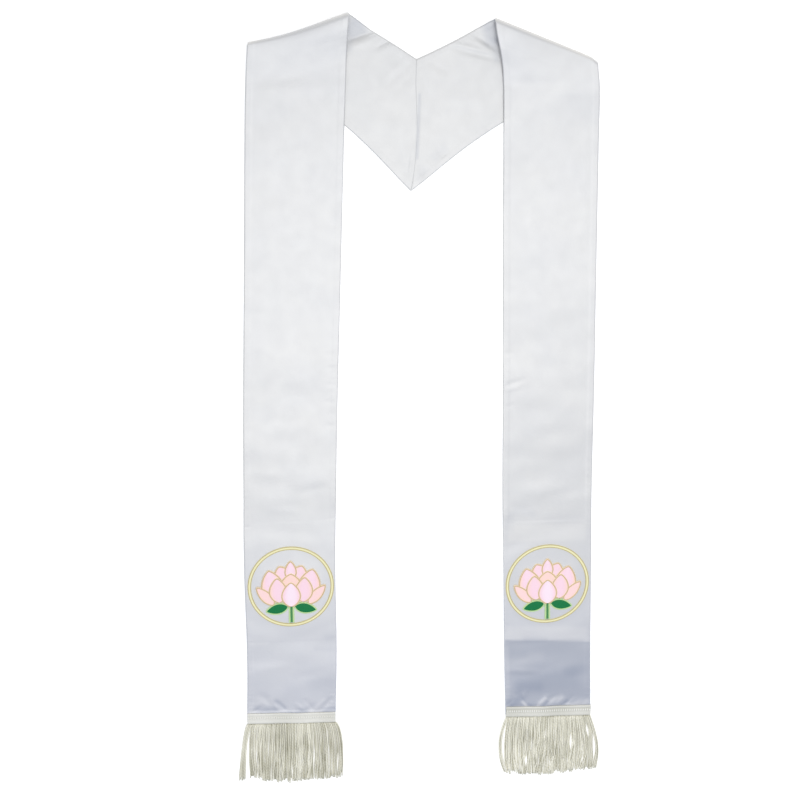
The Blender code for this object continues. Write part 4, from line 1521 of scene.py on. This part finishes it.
def place_camera():
    """The camera at the photograph's angle."""
    tilt = Vector((
        math.sin(CAMERA_TURN) * math.cos(CAMERA_TILT),
        math.sin(CAMERA_TILT),
        math.cos(CAMERA_TURN) * math.cos(CAMERA_TILT),
    ))
    up = (Vector((0, 1, 0)) - tilt * tilt.y).normalized()
    right = up.cross(tilt)
    data = bpy.data.cameras.new("camera")
    data.lens = CAMERA_LENS
    data.sensor_width = SENSOR
    camera = bpy.data.objects.new("camera", data)
    bpy.context.scene.collection.objects.link(camera)
    turn = Matrix((right, up, tilt)).transposed().to_4x4()
    turn.translation = tilt * CAMERA_DISTANCE + SHIFT
    camera.matrix_world = turn
    bpy.context.scene.camera = camera


def place_floor():
    """A plain white floor."""
    grid = bmesh.new()
    bmesh.ops.create_grid(grid, x_segments=1, y_segments=1, size=FLOOR_SIZE)
    bmesh.ops.translate(grid, verts=grid.verts, vec=(0, 0, FLOOR_DROP))
    mesh = bpy.data.meshes.new("floor")
    grid.to_mesh(mesh)
    grid.free()
    finish = Finish("floor_white", Base_Color=FLOOR_WHITE, Roughness=0.9, Specular_IOR_Level=0.0)
    finish.shader.inputs["Emission Color"].default_value = (1.0, 1.0, 1.0, 1.0)
    finish.shader.inputs["Emission Strength"].default_value = FLOOR_GLOW
    mesh.materials.append(finish.material)
    floor = bpy.data.objects.new("floor", mesh)
    bpy.context.scene.collection.objects.link(floor)


def place_lamp(name, spot, size, watts, colour):
    """A soft rectangular lamp over a spot of the floor, facing down."""
    data = bpy.data.lights.new(name, "AREA")
    data.shape = "RECTANGLE"
    data.size, data.size_y = size
    data.energy = watts
    data.color = colour
    lamp = bpy.data.objects.new(name, data)
    lamp.location = spot
    lamp.visible_camera = False
    bpy.context.scene.collection.objects.link(lamp)
    return lamp


def place_lights():
    """A pale room that is dimmer on the hem's side, and a soft lamp overhead."""
    world = bpy.data.worlds.new("room")
    world.use_nodes = True
    room = Nodes(world.node_tree)
    way = room.node("ShaderNodeTexCoord", {}, {}, "Generated")
    towards_neck = room.split(way, 1) * 0.5 + 0.5
    colour = room.blend(towards_neck, ROOM_HEM, ROOM_NECK)
    background = world.node_tree.nodes["Background"]
    room.feed(background.inputs["Color"], colour)
    background.inputs["Strength"].default_value = ROOM_STRENGTH
    bpy.context.scene.world = world
    lamp = place_lamp("key", KEY_SPOT, KEY_SIZE, KEY_WATTS, KEY_COLOUR)
    lamp.rotation_euler = (0, 0, math.radians(KEY_TURN))
    bpy.context.scene.view_settings.view_transform = "Standard"


low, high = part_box("ring_left")
SHIFT = Vector(((low.x + high.x) / 2 - LEFT.ring_x * MM, (low.y + high.y) / 2 - LEFT.ring_y * MM, 0.0))

place_camera()
place_floor()
place_lights()

face_satin = satin("white_satin", rgb(200, 198.5, 195), rgb(190, 190, 191), 0.34)
lining_satin = satin("lining_satin", rgb(201, 199, 195), rgb(191, 191, 190), 0.36)
ivory = corded("ivory_cord", rgb(248, 245, 230), rgb(168, 165, 140))
weave = webbing("ivory_weave", rgb(245, 243, 237), rgb(166, 166, 150))
gold = thread("gold_thread", 0.1, 0.4, rgb(190, 174, 116), rgb(238, 233, 189))
peach = thread("outline_thread", 0.05, 0.45, rgb(205, 175, 126), rgb(250, 232, 204))
pink = thread("petal_thread", 0.0, 0.45, rgb(254, 218, 196), rgb(250, 216, 228), rgb(251, 232, 243))
green = thread("leaf_thread", 0.0, 0.45, rgb(0, 117, 64), rgb(208, 236, 172))

for half in (LEFT, RIGHT):
    side = half.name
    fill, outline = petals(half)
    sewn_on = [
        show(f"corded_fringe_{side}", fringe(half), ivory, "fringe_ivory", f"fringe_{side}"),
        give_wall(show(f"woven_header_{side}", header(half), weave, "fringe_ivory"), HEADER_WALL),
        show(f"stitched_ring_{side}", ring(half), gold, "gold_thread", f"ring_{side}"),
        show(f"petal_fill_{side}", fill, pink, "petal_thread", f"lotus_{side}"),
        show(f"petal_outline_{side}", outline, peach, "gold_thread"),
        show(f"stitched_leaves_{side}", leaves(half), green, "leaf_thread", f"leaves_{side}"),
    ]
    cloth_shell("face", half, FACE_MAKE, face_satin, "satin")
    cloth_shell("lining", half, LINING_MAKE, lining_satin, "satin_lining")
